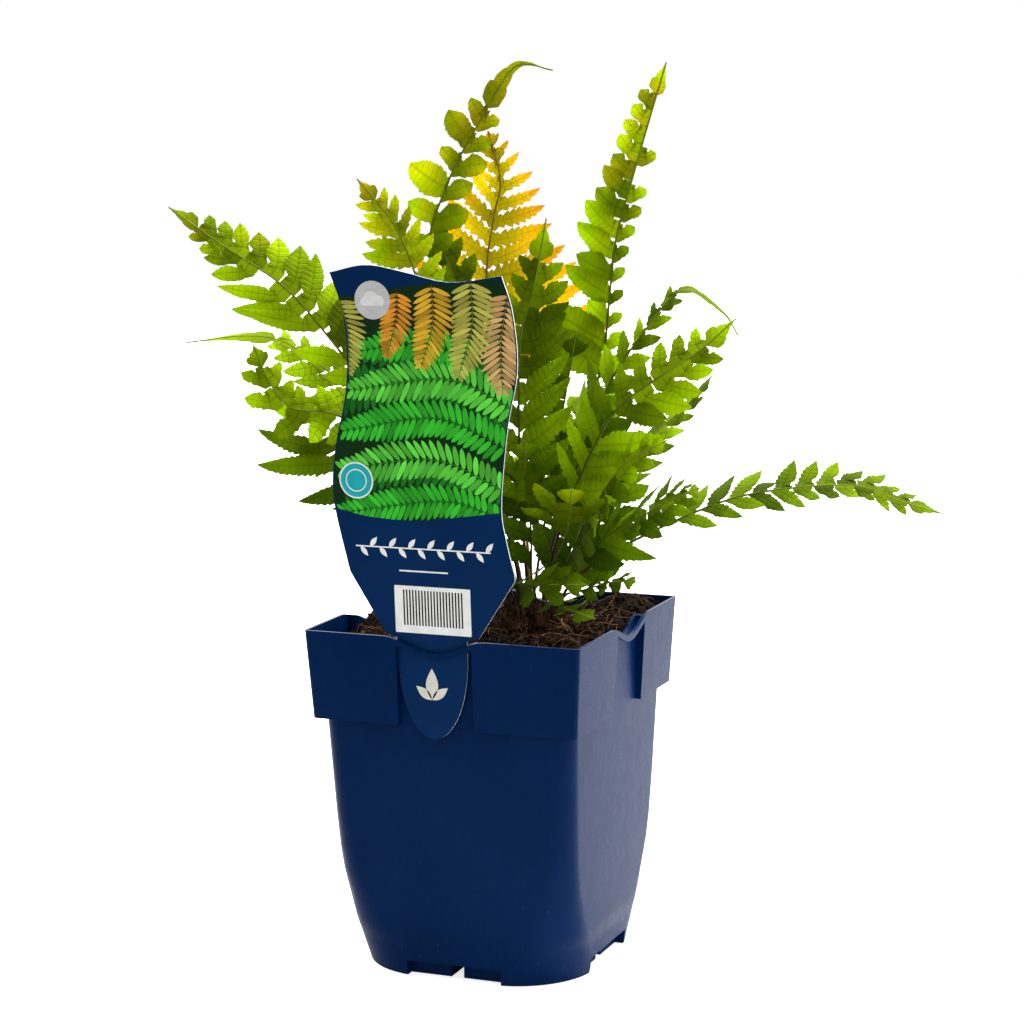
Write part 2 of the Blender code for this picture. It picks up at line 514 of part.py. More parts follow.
def build_soil():
    """The block of peat that fills the pot, with a pocket for the crown."""
    inset = POT_WALL + CLEARANCE
    loops = inside_loops(inset, FLOOR + CLEARANCE, SOIL_LEVEL)
    edge = loops.pop()
    loops.append([(x, y, soil_height(x, y)) for x, y, _ in edge])
    for part in SOIL_RINGS:
        loops.append([(x * part, y * part, soil_height(x * part, y * part)) for x, y, _ in edge])
    points, faces = loft(loops)
    top = faces.pop()
    points.append((0.0, 0.0, soil_height(0.0, 0.0)))
    faces += [(a, b, len(points) - 1) for a, b in zip(top, top[1:] + top[:1])]
    soil = add_solid("soil", points, faces, material("peat", (0.018, 0.011, 0.008), 0.95))
    cut_all(soil, hollow_fillers(inset))
    cut_all(soil, [crown_shape(CLEARANCE + 0.15)])
    return soil


# ---------------------------------------------------------------- crown


def crown_shape(grow):
    """The rhizome's lumpy outside, as (points, faces)."""
    centre = np.array(CROWN_CENTRE)
    loops = []
    for ring in range(1, CROWN_RINGS):
        tilt = math.pi * (ring / CROWN_RINGS - 0.5)
        calm = 0.0 if ring in (1, CROWN_RINGS - 1) else 1.0  # the first and last rings are flat caps
        loop = []
        for segment in range(CROWN_SEGMENTS):
            turn = 2 * math.pi * segment / CROWN_SEGMENTS
            lump = 1.0 + calm * (0.04 * math.sin(3 * turn + ring) + 0.03 * math.cos(5 * turn - 2 * ring))
            way = np.array((math.cos(turn) * math.cos(tilt), math.sin(turn) * math.cos(tilt), math.sin(tilt)))
            loop.append(tuple(centre + way * (np.array(CROWN_RADII) * lump + grow)))
        loops.append(loop)
    return split_alike(*loft(loops))


def build_crown(fronds):
    """The rhizome, with a plain socket for every stipe."""
    crown = add_solid("crown", *crown_shape(0.0), material("rhizome", (0.05, 0.025, 0.012), 0.9))
    cut_all(crown, [frond.socket() for frond in fronds])
    return crown


# ---------------------------------------------------------------- label


def label_sheet():
    """The tag's outline points, normals and triangles, folded where the tongue starts to hang."""
    steps = 3
    right, left = TONGUE_CENTRE + TONGUE_HALF, TONGUE_CENTRE - TONGUE_HALF
    upper = [(right, 0.0), (right, SHOULDER[0]), (right + SHOULDER_WIDER, SHOULDER[1])]
    upper += [tuple(p) for p in spline(LABEL_RIGHT, steps)[:-1]]
    upper += [tuple(p) for p in spline(LABEL_TOP, steps)[:-1]] + [tuple(p) for p in spline(LABEL_LEFT, steps)]
    upper += [(left - SHOULDER_WIDER, SHOULDER[1]), (left, SHOULDER[0]), (left, 0.0)]
    turns = np.linspace(math.pi, 2 * math.pi, 13)[1:-1]
    tongue = [(TONGUE_CENTRE + TONGUE_HALF * math.cos(turn), TONGUE_LENGTH * math.sin(turn))
              for turn in turns]
    outline = upper + tongue
    lean = np.array((0.0, -math.sin(LABEL_LEAN), math.cos(LABEL_LEAN)))
    fold = np.array((0.0, LABEL_Y, LABEL_FOLD))
    points = [fold + np.array((x, 0, 0)) + (lean if height > 0 else np.array((0, 0, 1))) * height
              for x, height in outline]
    first, last = 0, len(upper) - 1
    parts = [list(range(len(upper))), [last] + list(range(len(upper), len(outline))) + [first]]
    triangles = []
    for part in parts:
        for corners in tessellate_polygon([[Vector((outline[i][0], outline[i][1], 0)) for i in part]]):
            a, b, c = (part[corner] for corner in corners)
            turn = np.cross(np.subtract(outline[b], outline[a]), np.subtract(outline[c], outline[a]))
            triangles.append((a, b, c) if turn > 0 else (a, c, b))
    normals = [(0.0, -1.0, 0.0)] * len(outline)
    return points, normals, triangles


def build_label():
    """The plant tag."""
    points, normals, triangles = label_sheet()
    solid = thicken(points, normals, [LABEL_THICKNESS / 2] * len(points), triangles)
    return add_solid("label", *solid, material("label_print", (0.03, 0.09, 0.05), 0.35))


# ---------------------------------------------------------------- fronds


class Tree:
    """Shapes already in place, kept as search trees with their bounds."""

    def __init__(self):
        self.placed = []

    def add(self, points, triangles):
        """Keep one more shape."""
        points = np.asarray(points)
        tree = BVHTree.FromPolygons([tuple(point) for point in points], triangles)
        self.placed.append((tree, points.min(0), points.max(0)))

    def hits(self, points, triangles):
        """Whether a shape crosses anything in place."""
        low, high = points.min(0), points.max(0)
        probe = BVHTree.FromPolygons([tuple(point) for point in points], triangles)
        return any((low < other_high).all() and (high > other_low).all() and probe.overlap(tree)
                   for tree, other_low, other_high in self.placed)


class Pinna:
    """One pinna: its axis bends from the rachis, and its lobes stand out on both sides."""

    def __init__(self, start, axis, normal, side, length, width, blunt):
        self.start, self.axis, self.normal, self.side = start, axis, normal, side
        self.length, self.width, self.blunt = length, width, blunt
        self.spread = 2.0  # how fast the blade may widen from the rachis without running into it
        self.notch = LOBE_GAP
        self.lift, self.forward = 0.0, np.zeros(3)

    def frame(self, along):
        """Point, direction, upper side and the way to the frond's tip, at this part of the length."""
        bend = self.normal * self.lift + self.forward
        point = self.start + self.length * (self.axis * along + bend * along**2)
        direction = unit(self.axis + 2 * bend * along)
        normal = unit(self.normal - direction * (self.normal @ direction))
        return point, direction, normal, self.side * np.cross(normal, direction)

    def envelope(self, along):
        """Half the width out to the lobes' tips: towards the stipe, and towards the frond's tip."""
        half = self.width * min(1.0, BASE_PART + BASE_GROWTH * along)
        half *= max(0.0, 1 - along**self.blunt) ** TAPER
        return half, min(half, BASE_HALF + self.spread * along * self.length)

    def sheet(self, lobes):
        """Points, normals and triangles; the first two points are the corners at the rachis."""
        if lobes == 0:
            rows = [(0.4, 1.0)] if self.length < 6.0 else [(0.3, 1.0), (0.72, 1.0)]
        else:
            rows = [(step / (lobes + 0.5), 1 - self.notch) for step in range(1, lobes + 1)]
        points, normals, triangles = [], [], []

        def add(along, across, sink=0.0):
            point, _, normal, tipward = self.frame(along)
            points.append(point + tipward * across - normal * sink)
            normals.append(normal)
            return len(points) + 1

        basal, apical, before = 0, 1, 0.0
        for along, part in rows:
            low_half, high_half = self.envelope(along)
            next_basal, next_apical = add(along, -low_half * part), add(along, high_half * part)
            triangles += [(basal, next_basal, next_apical), (basal, next_apical, apical)]
            if lobes:
                at = before + LOBE_PEAK * (along - before)
                low_half, high_half = self.envelope(at)
                low = add(at, -low_half, LOBE_SINK * low_half)
                high = add(at, high_half, LOBE_SINK * high_half)
                triangles += [(basal, low, next_basal), (apical, next_apical, high)]
            basal, apical, before = next_basal, next_apical, along
        tip = add(1.0, 0.0)
        triangles.append((basal, tip, apical))
        if self.side < 0:
            triangles = [(a, c, b) for a, b, c in triangles]
        return points, normals, triangles

    def probe(self):
        """A fatter copy of the blade, clear of its own base, to test for room."""
        points, faces = [], []
        for along in (min(0.5, 0.1 + 1.6 / self.length), 0.35, 0.6, 0.85, 1.0):
            point, _, normal, tipward = self.frame(along)
            low_half, high_half = (half + PROBE_MARGIN for half in self.envelope(along))
            rise = normal * (BLADE_HALF + AIR)
            points += [point - tipward * low_half + rise, point + tipward * high_half + rise,
                       point + tipward * high_half - rise, point - tipward * low_half - rise]
        for row in range(4):
            low = 4 * row
            for at in range(4):
                faces.append((low + at, low + (at + 1) % 4, low + 4 + (at + 1) % 4, low + 4 + at))
        faces += [(0, 1, 2, 3), (19, 18, 17, 16)]
        return np.array(points), faces


class Frond:
    """A stipe and rachis along a smooth route, with pinnae in pairs."""

    def __init__(self, name, plan):
        self.name, self.plan = name, plan
        (root_x, root_y), *free = plan["route"]
        root = (root_x, root_y, ROOT_HEIGHT)
        neck = (root_x, root_y, ROOT_HEIGHT + SOCKET_DEPTH)
        self.curve = np.vstack((root, spline((neck, *free), 16, (root_x, root_y, neck[2] - 20.0))))
        steps = np.linalg.norm(np.diff(self.curve, axis=0), axis=1)
        self.reached = np.concatenate(([0.0], np.cumsum(steps)))
        self.length = self.reached[-1]
        self.pinnae = []

    def frame(self, along):
        """Point, direction, upper side and right-hand side, this far along in millimetres."""
        point = np.array([np.interp(along, self.reached, self.curve[:, axis]) for axis in range(3)])
        ahead, behind = min(along + 3.0, self.length), max(along - 3.0, 0.0)
        ends = [np.array([np.interp(at, self.reached, self.curve[:, axis]) for axis in range(3)])
                for at in (behind, ahead)]
        direction = unit(ends[1] - ends[0])
        free = max(0.0, along - SOCKET_DEPTH) / (self.length - SOCKET_DEPTH)
        face = blend(*self.plan["face"], free)
        normal = unit(face - direction * (face @ direction))
        return point, direction, normal, np.cross(direction, normal)

    def stem_size(self, along):
        """Half width and half depth of the stem here."""
        return blend(STEM_ROOT, STEM_TIP, (along / self.length) ** 0.8) * min(1.0, 0.62 + self.length / 500)

    def pinna_length(self, side, part):
        """The length of a pinna on this side, at this part of the blade."""
        lengths = self.plan["right" if side > 0 else "left"]
        return float(np.interp(part, np.linspace(0, 1, len(lengths)), lengths))

    def half_width(self, along, side):
        """How far the stem and its wing reach to one side: towards the tip the blade grows together."""
        bare = self.plan["bare"] * self.length
        part = max(0.0, (along - bare) / (self.length - bare))
        grown = min(1.0, max(0.0, (part - WING_START) * WING_GROWTH))
        return self.stem_size(along)[0] + self.plan.get("wing", WING) * grown * self.pinna_length(side, part)

    def nodes(self):
        """Where pairs of pinnae grow, with the blade's part reached: closer together towards the tip."""
        bare = self.plan["bare"] * self.length
        for pair in range(self.plan["pairs"]):
            part = (pair + 0.3) / self.plan["pairs"]
            yield bare + (self.length - bare) * part * (1.25 - 0.25 * part), part

    def stations(self):
        """Places along the stem: a few on the bare stipe, then two at every pair of pinnae."""
        nodes = list(self.nodes())
        bare = np.linspace(SOCKET_DEPTH + 5.0, nodes[0][0] - 4.0, 4)
        places = [0.0, SOCKET_DEPTH - 3.0, *bare]
        spacing = np.diff([at for at, _ in nodes] + [self.length])
        for (at, _), gap in zip(nodes, spacing):
            places += [at - 0.3 * gap, at + 0.3 * gap]
        return places, spacing

    def grow_pinna(self, at, part, gap, side):
        """The pinna that this pair has on one side, before it is bent clear."""
        point, direction, normal, across = self.frame(at + (STAGGER * gap if side < 0 else 0.0))
        reach = self.half_width(at, side)
        full = self.pinna_length(side, part)
        length = full - WING_TAKEN * (reach - self.stem_size(at)[0])
        sweep = math.radians(float(blend(*self.plan["sweep_right" if side > 0 else "sweep_left"], part)))
        axis = across * side * math.sin(sweep) + direction * math.cos(sweep)
        between = gap * math.sin(sweep)
        width = min(float(blend(*self.plan["breadth"], part)) * full / 2, CROWDING * between)
        twist = LOUVRE / max(between, 2.5) if 2 * width > 0.9 * between else 0.25
        tilted = unit(normal - twist * (direction - axis * (direction @ axis)))
        start = point + across * side * reach
        upper = unit(tilted - axis * (tilted @ axis))
        pinna = Pinna(start, axis, upper, side, length, width, self.plan["blunt"])
        pinna.spread = 0.8 * math.tan(min(sweep, 1.3))
        pinna.lift = -self.plan["droop"]
        pinna.notch = self.plan.get("notch", LOBE_GAP)
        pinna.forward = direction * FORWARD_BEND
        return pinna

    def settle(self, pinna, tree, label):
        """Bend, swing or shorten the pinna until nothing is in its way; False if nothing helps."""
        axis, length, width, lift = pinna.axis, pinna.length, pinna.width, pinna.lift
        sideways = np.cross(pinna.normal, axis)
        for raised, swing, kept, slimmed in BENDS:
            turn = math.radians(swing)
            pinna.axis = unit(axis * math.cos(turn) + sideways * math.sin(turn))
            pinna.length, pinna.width, pinna.lift = length * kept, width * slimmed, lift + raised
            points, faces = pinna.probe()
            crossed = tree.hits(points, faces) or label.hits(points, faces)
            if points[:, 2].min() > FOLIAGE_FLOOR and not crossed:
                return True
        return False

    def stem_loops(self, grow=0.0):
        """Corner points of the stem's square section at every station."""
        for at in self.stations()[0]:
            point, _, normal, across = self.frame(at)
            left, right = (self.half_width(at, side) + grow for side in (-1, 1))
            depth = self.stem_size(at)[1] + grow
            yield [point - across * left - normal * depth, point - across * left + normal * depth,
                   point + across * right + normal * depth, point + across * right - normal * depth]

    def stem_shape(self):
        """The whole stem as a closed tube, to keep pinnae off it."""
        return loft(list(self.stem_loops()))

    def socket(self):
        """A cutter round the stipe's straight foot, a little larger all round."""
        loops = list(self.stem_loops(CLEARANCE))[:2]
        loops[0] = [corner - np.array((0, 0, CLEARANCE)) for corner in loops[0]]
        return loft(loops)

    def place_pinnae(self, tree, label):
        """Grow both pinnae of every pair and keep those that find room."""
        _, spacing = self.stations()
        for (at, part), gap in zip(self.nodes(), spacing):
            for side in (1, -1):
                pinna = self.grow_pinna(at, part, gap, side)
                if self.settle(pinna, tree, label):
                    tree.add(*pinna.probe())
                    self.pinnae.append(pinna)
                else:
                    self.pinnae.append(None)

    def build(self):
        """One closed body: the stem, with every pinna's shell grown out of its side."""
        places, _ = self.stations()
        bare = len(places) - 2 * self.plan["pairs"]
        points, normals, halves, triangles = [], [], [], []
        for index, at in enumerate(places):
            gap = (places[index + 1] - at) if index + 1 < len(places) else 0.0
            shift = STAGGER * gap if index >= bare else 0.0
            for side in (-1, 1):
                point, _, normal, across = self.frame(at + (shift if side < 0 else 0.0))
                half, depth = self.stem_size(at)
                reach = self.half_width(at, side)
                points.append(point + across * side * reach)
                normals.append(normal)
                halves.append(depth if reach == half else BLADE_HALF)
        for index in range(len(places) - 1):
            left, right = 2 * index, 2 * index + 1
            triangles += [(left, right, right + 2), (left, right + 2, left + 2)]
        tip_point, _, tip_normal, _ = self.frame(self.length)
        last = len(points)
        points.append(tip_point)
        normals.append(tip_normal)
        halves.append(BLADE_HALF)
        triangles.append((last - 2, last - 1, last))
        for index, pinna in enumerate(self.pinnae):
            if pinna is None:
                continue
            pair, on_left = divmod(index, 2)
            base = 2 * (bare + 2 * pair) + (0 if on_left else 1)
            lobes = min(MOST_LOBES, int(pinna.length / LOBE_PITCH))
            sheet_points, sheet_normals, sheet_triangles = pinna.sheet(lobes)
            offset = len(points) - 2
            points += sheet_points
            normals += sheet_normals
            halves += [BLADE_HALF] * len(sheet_points)
            corner = {0: base, 1: base + 2}
            triangles += [tuple(corner.get(i, i + offset) for i in face) for face in sheet_triangles]
        green = blend((0.09, 0.2, 0.012), (0.5, 0.33, 0.02), self.plan["tone"])
        finish = material("leaf_" + self.name, tuple(float(value) for value in green), 0.5)
        return add_solid(self.name, *thicken(points, normals, halves, triangles), finish)


def build_fronds():
    """All fronds, bent clear of each other and of the label."""
    fronds = [Frond(name, plan) for name, plan in FRONDS.items()]
    tree, label = Tree(), Tree()
    sheet, normals, triangles = label_sheet()
    label.add(*thicken(sheet, normals, [LABEL_THICKNESS / 2 + AIR] * len(sheet), triangles))
    for frond in fronds:
        tree.add(*frond.stem_shape())
    for frond in fronds:
        frond.place_pinnae(tree, label)
        frond.build()
    return fronds


def main():
    """Clear the scene and build every piece."""
    for old in list(bpy.data.objects):
        bpy.data.objects.remove(old)
    build_pot()
    build_soil()
    build_label()
    build_crown(build_fronds())


main()
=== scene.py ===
"""Looks of an autumn fern in a square nursery pot, laid out as an add-on.

Sizes are in millimetres unless they say otherwise, and add_mesh turns them into Blender's metres.
+Z is up, -Y is the front, and the origin is the middle of the pot's underside.
"""

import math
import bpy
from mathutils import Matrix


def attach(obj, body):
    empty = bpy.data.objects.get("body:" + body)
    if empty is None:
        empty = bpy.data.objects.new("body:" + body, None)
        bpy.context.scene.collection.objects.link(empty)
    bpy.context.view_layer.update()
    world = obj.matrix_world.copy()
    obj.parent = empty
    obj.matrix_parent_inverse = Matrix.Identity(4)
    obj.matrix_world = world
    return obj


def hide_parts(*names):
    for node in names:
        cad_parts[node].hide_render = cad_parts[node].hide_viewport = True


bl_info = {
    "name": "Autumn fern in a nursery pot",
    "version": (1, 0, 0),
    "blender": (4, 5, 0),
    "location": "3D View > Sidebar > Fern",
    "description": "Dresses the solids of a potted autumn fern with fronds, peat, pot, tag and studio",
    "category": "Object",
}

import bmesh
import bpy
import numpy as np
from bpy.props import FloatProperty, FloatVectorProperty, IntProperty, PointerProperty
from mathutils import Matrix
from mathutils.kdtree import KDTree

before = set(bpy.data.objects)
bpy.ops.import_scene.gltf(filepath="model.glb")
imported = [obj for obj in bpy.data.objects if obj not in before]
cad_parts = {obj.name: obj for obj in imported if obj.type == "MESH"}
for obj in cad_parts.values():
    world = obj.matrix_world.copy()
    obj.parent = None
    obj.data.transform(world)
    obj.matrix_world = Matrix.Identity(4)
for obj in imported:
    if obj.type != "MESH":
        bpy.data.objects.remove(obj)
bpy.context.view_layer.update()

MM = 0.001
BODY = "root"

# Pot: a moulded square pot whose corners grow rounder towards the foot.
POT_HEIGHT = 157.0
POT_WALL = 1.4
CORNER_STEPS = 14
# Height, half width across the flats and corner radius, from the foot to the collar's underside.
BODY_SECTIONS = (
    (0.0, 53.6, 36.0), (18.0, 55.2, 27.0), (33.0, 56.0, 20.0), (57.0, 57.2, 12.0), (117.0, 59.5, 8.0),
)
COLLAR_HEIGHT = 40.0
COLLAR_HALF_FOOT = 62.6
COLLAR_HALF_RIM = 65.0
COLLAR_CORNER = 2.2
FLOOR = 1.6
SLOT_CENTRE = -2.7
SLOT_HALF = 17.9
SLOT_FRONT = 63.1
SLOT_BACK = 60.2
SLOT_DEPTH = 16.0  # how far down the rim the slot behind the strip reaches
STRIP_HEIGHT = 2.8
DIP_DEPTH = 6.5
DIP_HALF = 25.0
DIP_STEPS = 28
NOTCH_HALF = 22.5
NOTCH_HEIGHT = 7.0
NOTCH_BACK = 48.7
CHANNEL_HALF = 3.0
PAD_RADIUS = 13.0
CLEAR = 5.0  # how far cutters reach past what they cut
BEYOND = COLLAR_HALF_RIM + CLEAR
PANEL_BELOW = 8.0  # how far the panels behind the slots reach below the collar
PANEL_ABOVE = 9.0  # how far the blocks that leave room for them reach above the rim
EDGE_ROUNDING = 0.45
POT_SHARP = math.radians(35.0)  # edges that turn further than this are rounded
PARTING_HEIGHT = 17.5  # where the mould's foot meets its sides, as a fine step
PARTING_STEP = 0.22
PARTING_RISE = 0.3
PARTING_FREE = 1.0  # no other section lies closer to the step

# Peat: its mean level, then mounds as x, y, height and spread.
SOIL_LEVEL = 149.0
SOIL_MOUNDS = (
    (13.0, 12.0, 4.0, 24.0),
    (47.0, 46.0, 9.0, 13.0),
    (-52.0, -4.0, 7.5, 9.0),
    (-34.0, 40.0, 4.0, 16.0),
    (20.0, -48.0, -1.5, 14.0),
    (51.0, 8.0, 2.5, 9.0),
)
SOIL_EDGE = 62.4  # half width of the peat at its surface

# Crown: the short scaly rhizome that every frond grows from.
CROWN_CENTRE = (13.0, 10.0, 149.5)
CROWN_RADII = (20.0, 19.5, 10.5)
ROOT_HEIGHT = 151.5
SOCKET_DEPTH = 12.0

# Tag: a flat plastic label that leans forward out of the front slot, its tongue hanging through it.
TAG_THICKNESS = 0.7
TAG_Y = -62.2
TAG_FOLD = 148.0
TAG_LEAN = math.radians(3.0)
TONGUE_CENTRE = -3.7
TONGUE_HALF = 16.4
TONGUE_LENGTH = 36.0
SHOULDER = (8.6, 10.0)
SHOULDER_WIDER = 5.5
TAG_RIGHT = ((36.3, 37.3), (32.5, 54.0), (30.8, 70.0), (34.8, 103.0), (40.0, 128.0), (38.6, 152.0),
             (34.1, 167.4))
TAG_TOP = ((34.1, 167.4), (10.0, 164.4), (-10.0, 168.3), (-28.0, 171.2), (-45.5, 167.7))
TAG_LEFT = ((-45.5, 167.7), (-39.5, 147.0), (-39.6, 119.0), (-46.5, 90.0), (-48.0, 68.0), (-41.8, 37.0))

# Fronds: half width and half depth of a stipe at its root and of the rachis at its tip.
STEM_ROOT = (1.05, 0.95)
STEM_TIP = (0.45, 0.42)
STEM_THINNING = 0.8
STEM_LEAST = 0.62  # thickness of the shortest fronds' stems, in parts of the full one
STEM_GROWN = 500  # length over which they would grow by the full thickness
NODE_START = 0.3  # where the first pair stands, in parts of the way to the next
NODE_CROWDING = 0.25  # how much closer than evenly spaced the pairs stand near the tip
BLADE_HALF = 0.33  # half the thickness of a pinna's solid
LOBE_PITCH = 10.5  # of the solids' coarse lobes
MOST_LOBES = 5
TAPER = 0.85  # how straight a pinna's sides run to its tip
LOUVRE = 2.1  # how far apart neighbours that overlap are held, by tilting both like slats
LOUVRE_LEAST = 2.5  # the closest spacing that is tilted for
OVERLAP = 0.9  # neighbours wider than this part of their spacing are tilted
FREE_TWIST = 0.25  # tilt of those that are not
SPREAD = 0.8  # how fast a pinna may widen from the rachis, against its angle's tangent
SPREAD_MOST = 1.3  # radians up to which that angle counts
CROWDING = 0.85  # most half width of a pinna, in parts of the way to the next one
WING_TAKEN = 0.8  # part of the wing's reach that is taken off its pinna's length
WING_START = 0.3  # part of the blade at which the rachis starts to be winged
WING_GROWTH = 2.5  # how fast it then reaches its full size
STAGGER = 0.15  # how much further on the left pinna of a pair stands, in parts of the way to the next pair
FORWARD_BEND = 0.12  # how far a pinna's tip bends on to the frond's tip, in parts of its length
BASE_HALF = 0.8  # half width that every pinna may have at the rachis
BASE_PART = 0.72  # half width at the rachis, in parts of the full one
BASE_GROWTH = 1.4  # how fast the half width then grows to the full one
STEM_SLIM = 0.78  # thickness of the finished stems, in parts of the solids'
# Ways to make room for a crowded pinna: lift in parts of its length, swing in degrees, part of its length
# kept and part of its width kept.
BENDS = (
    (0.0, 0, 1.0, 1.0), (0.22, 0, 1.0, 1.0), (-0.22, 0, 1.0, 1.0), (0.0, 9, 1.0, 1.0),
    (0.0, -9, 1.0, 1.0), (0.0, 0, 1.0, 0.7), (0.45, 0, 1.0, 0.8), (-0.45, 0, 1.0, 0.8),
    (0.3, 14, 0.9, 0.8), (-0.3, 14, 0.9, 0.8), (0.3, -14, 0.9, 0.8), (-0.3, -14, 0.9, 0.8),
    (0.0, 0, 1.0, 0.45), (0.15, 6, 1.0, 0.5), (-0.15, 6, 1.0, 0.5), (0.15, -6, 1.0, 0.5),
    (-0.15, -6, 1.0, 0.5), (0.7, 0, 0.8, 0.7), (-0.7, 0, 0.8, 0.7), (0.0, 0, 0.7, 0.6),
    (0.5, 20, 0.7, 0.7), (-0.5, 20, 0.7, 0.7), (0.0, 0, 0.5, 0.7), (0.5, 0, 0.5, 0.7),
    (-0.5, 0, 0.5, 0.7), (0.0, 0, 0.35, 0.6), (0.4, 0, 0.3, 0.6), (-0.4, 0, 0.3, 0.6),
)
FRONT = (0.37, -0.92, 0.16)

# What a frond's plan says unless it has its own: where its upper side faces at the root and at the tip,
# how far its pinnae droop, how blunt they are, how far the blade's wing reaches along each pinna near the
# frond's tip, and the depth of the notches between lobes, in parts of the half width.
USUAL = dict(face=(FRONT, FRONT), droop=0.1, blunt=2.6, wing=0.3, notch=0.16)
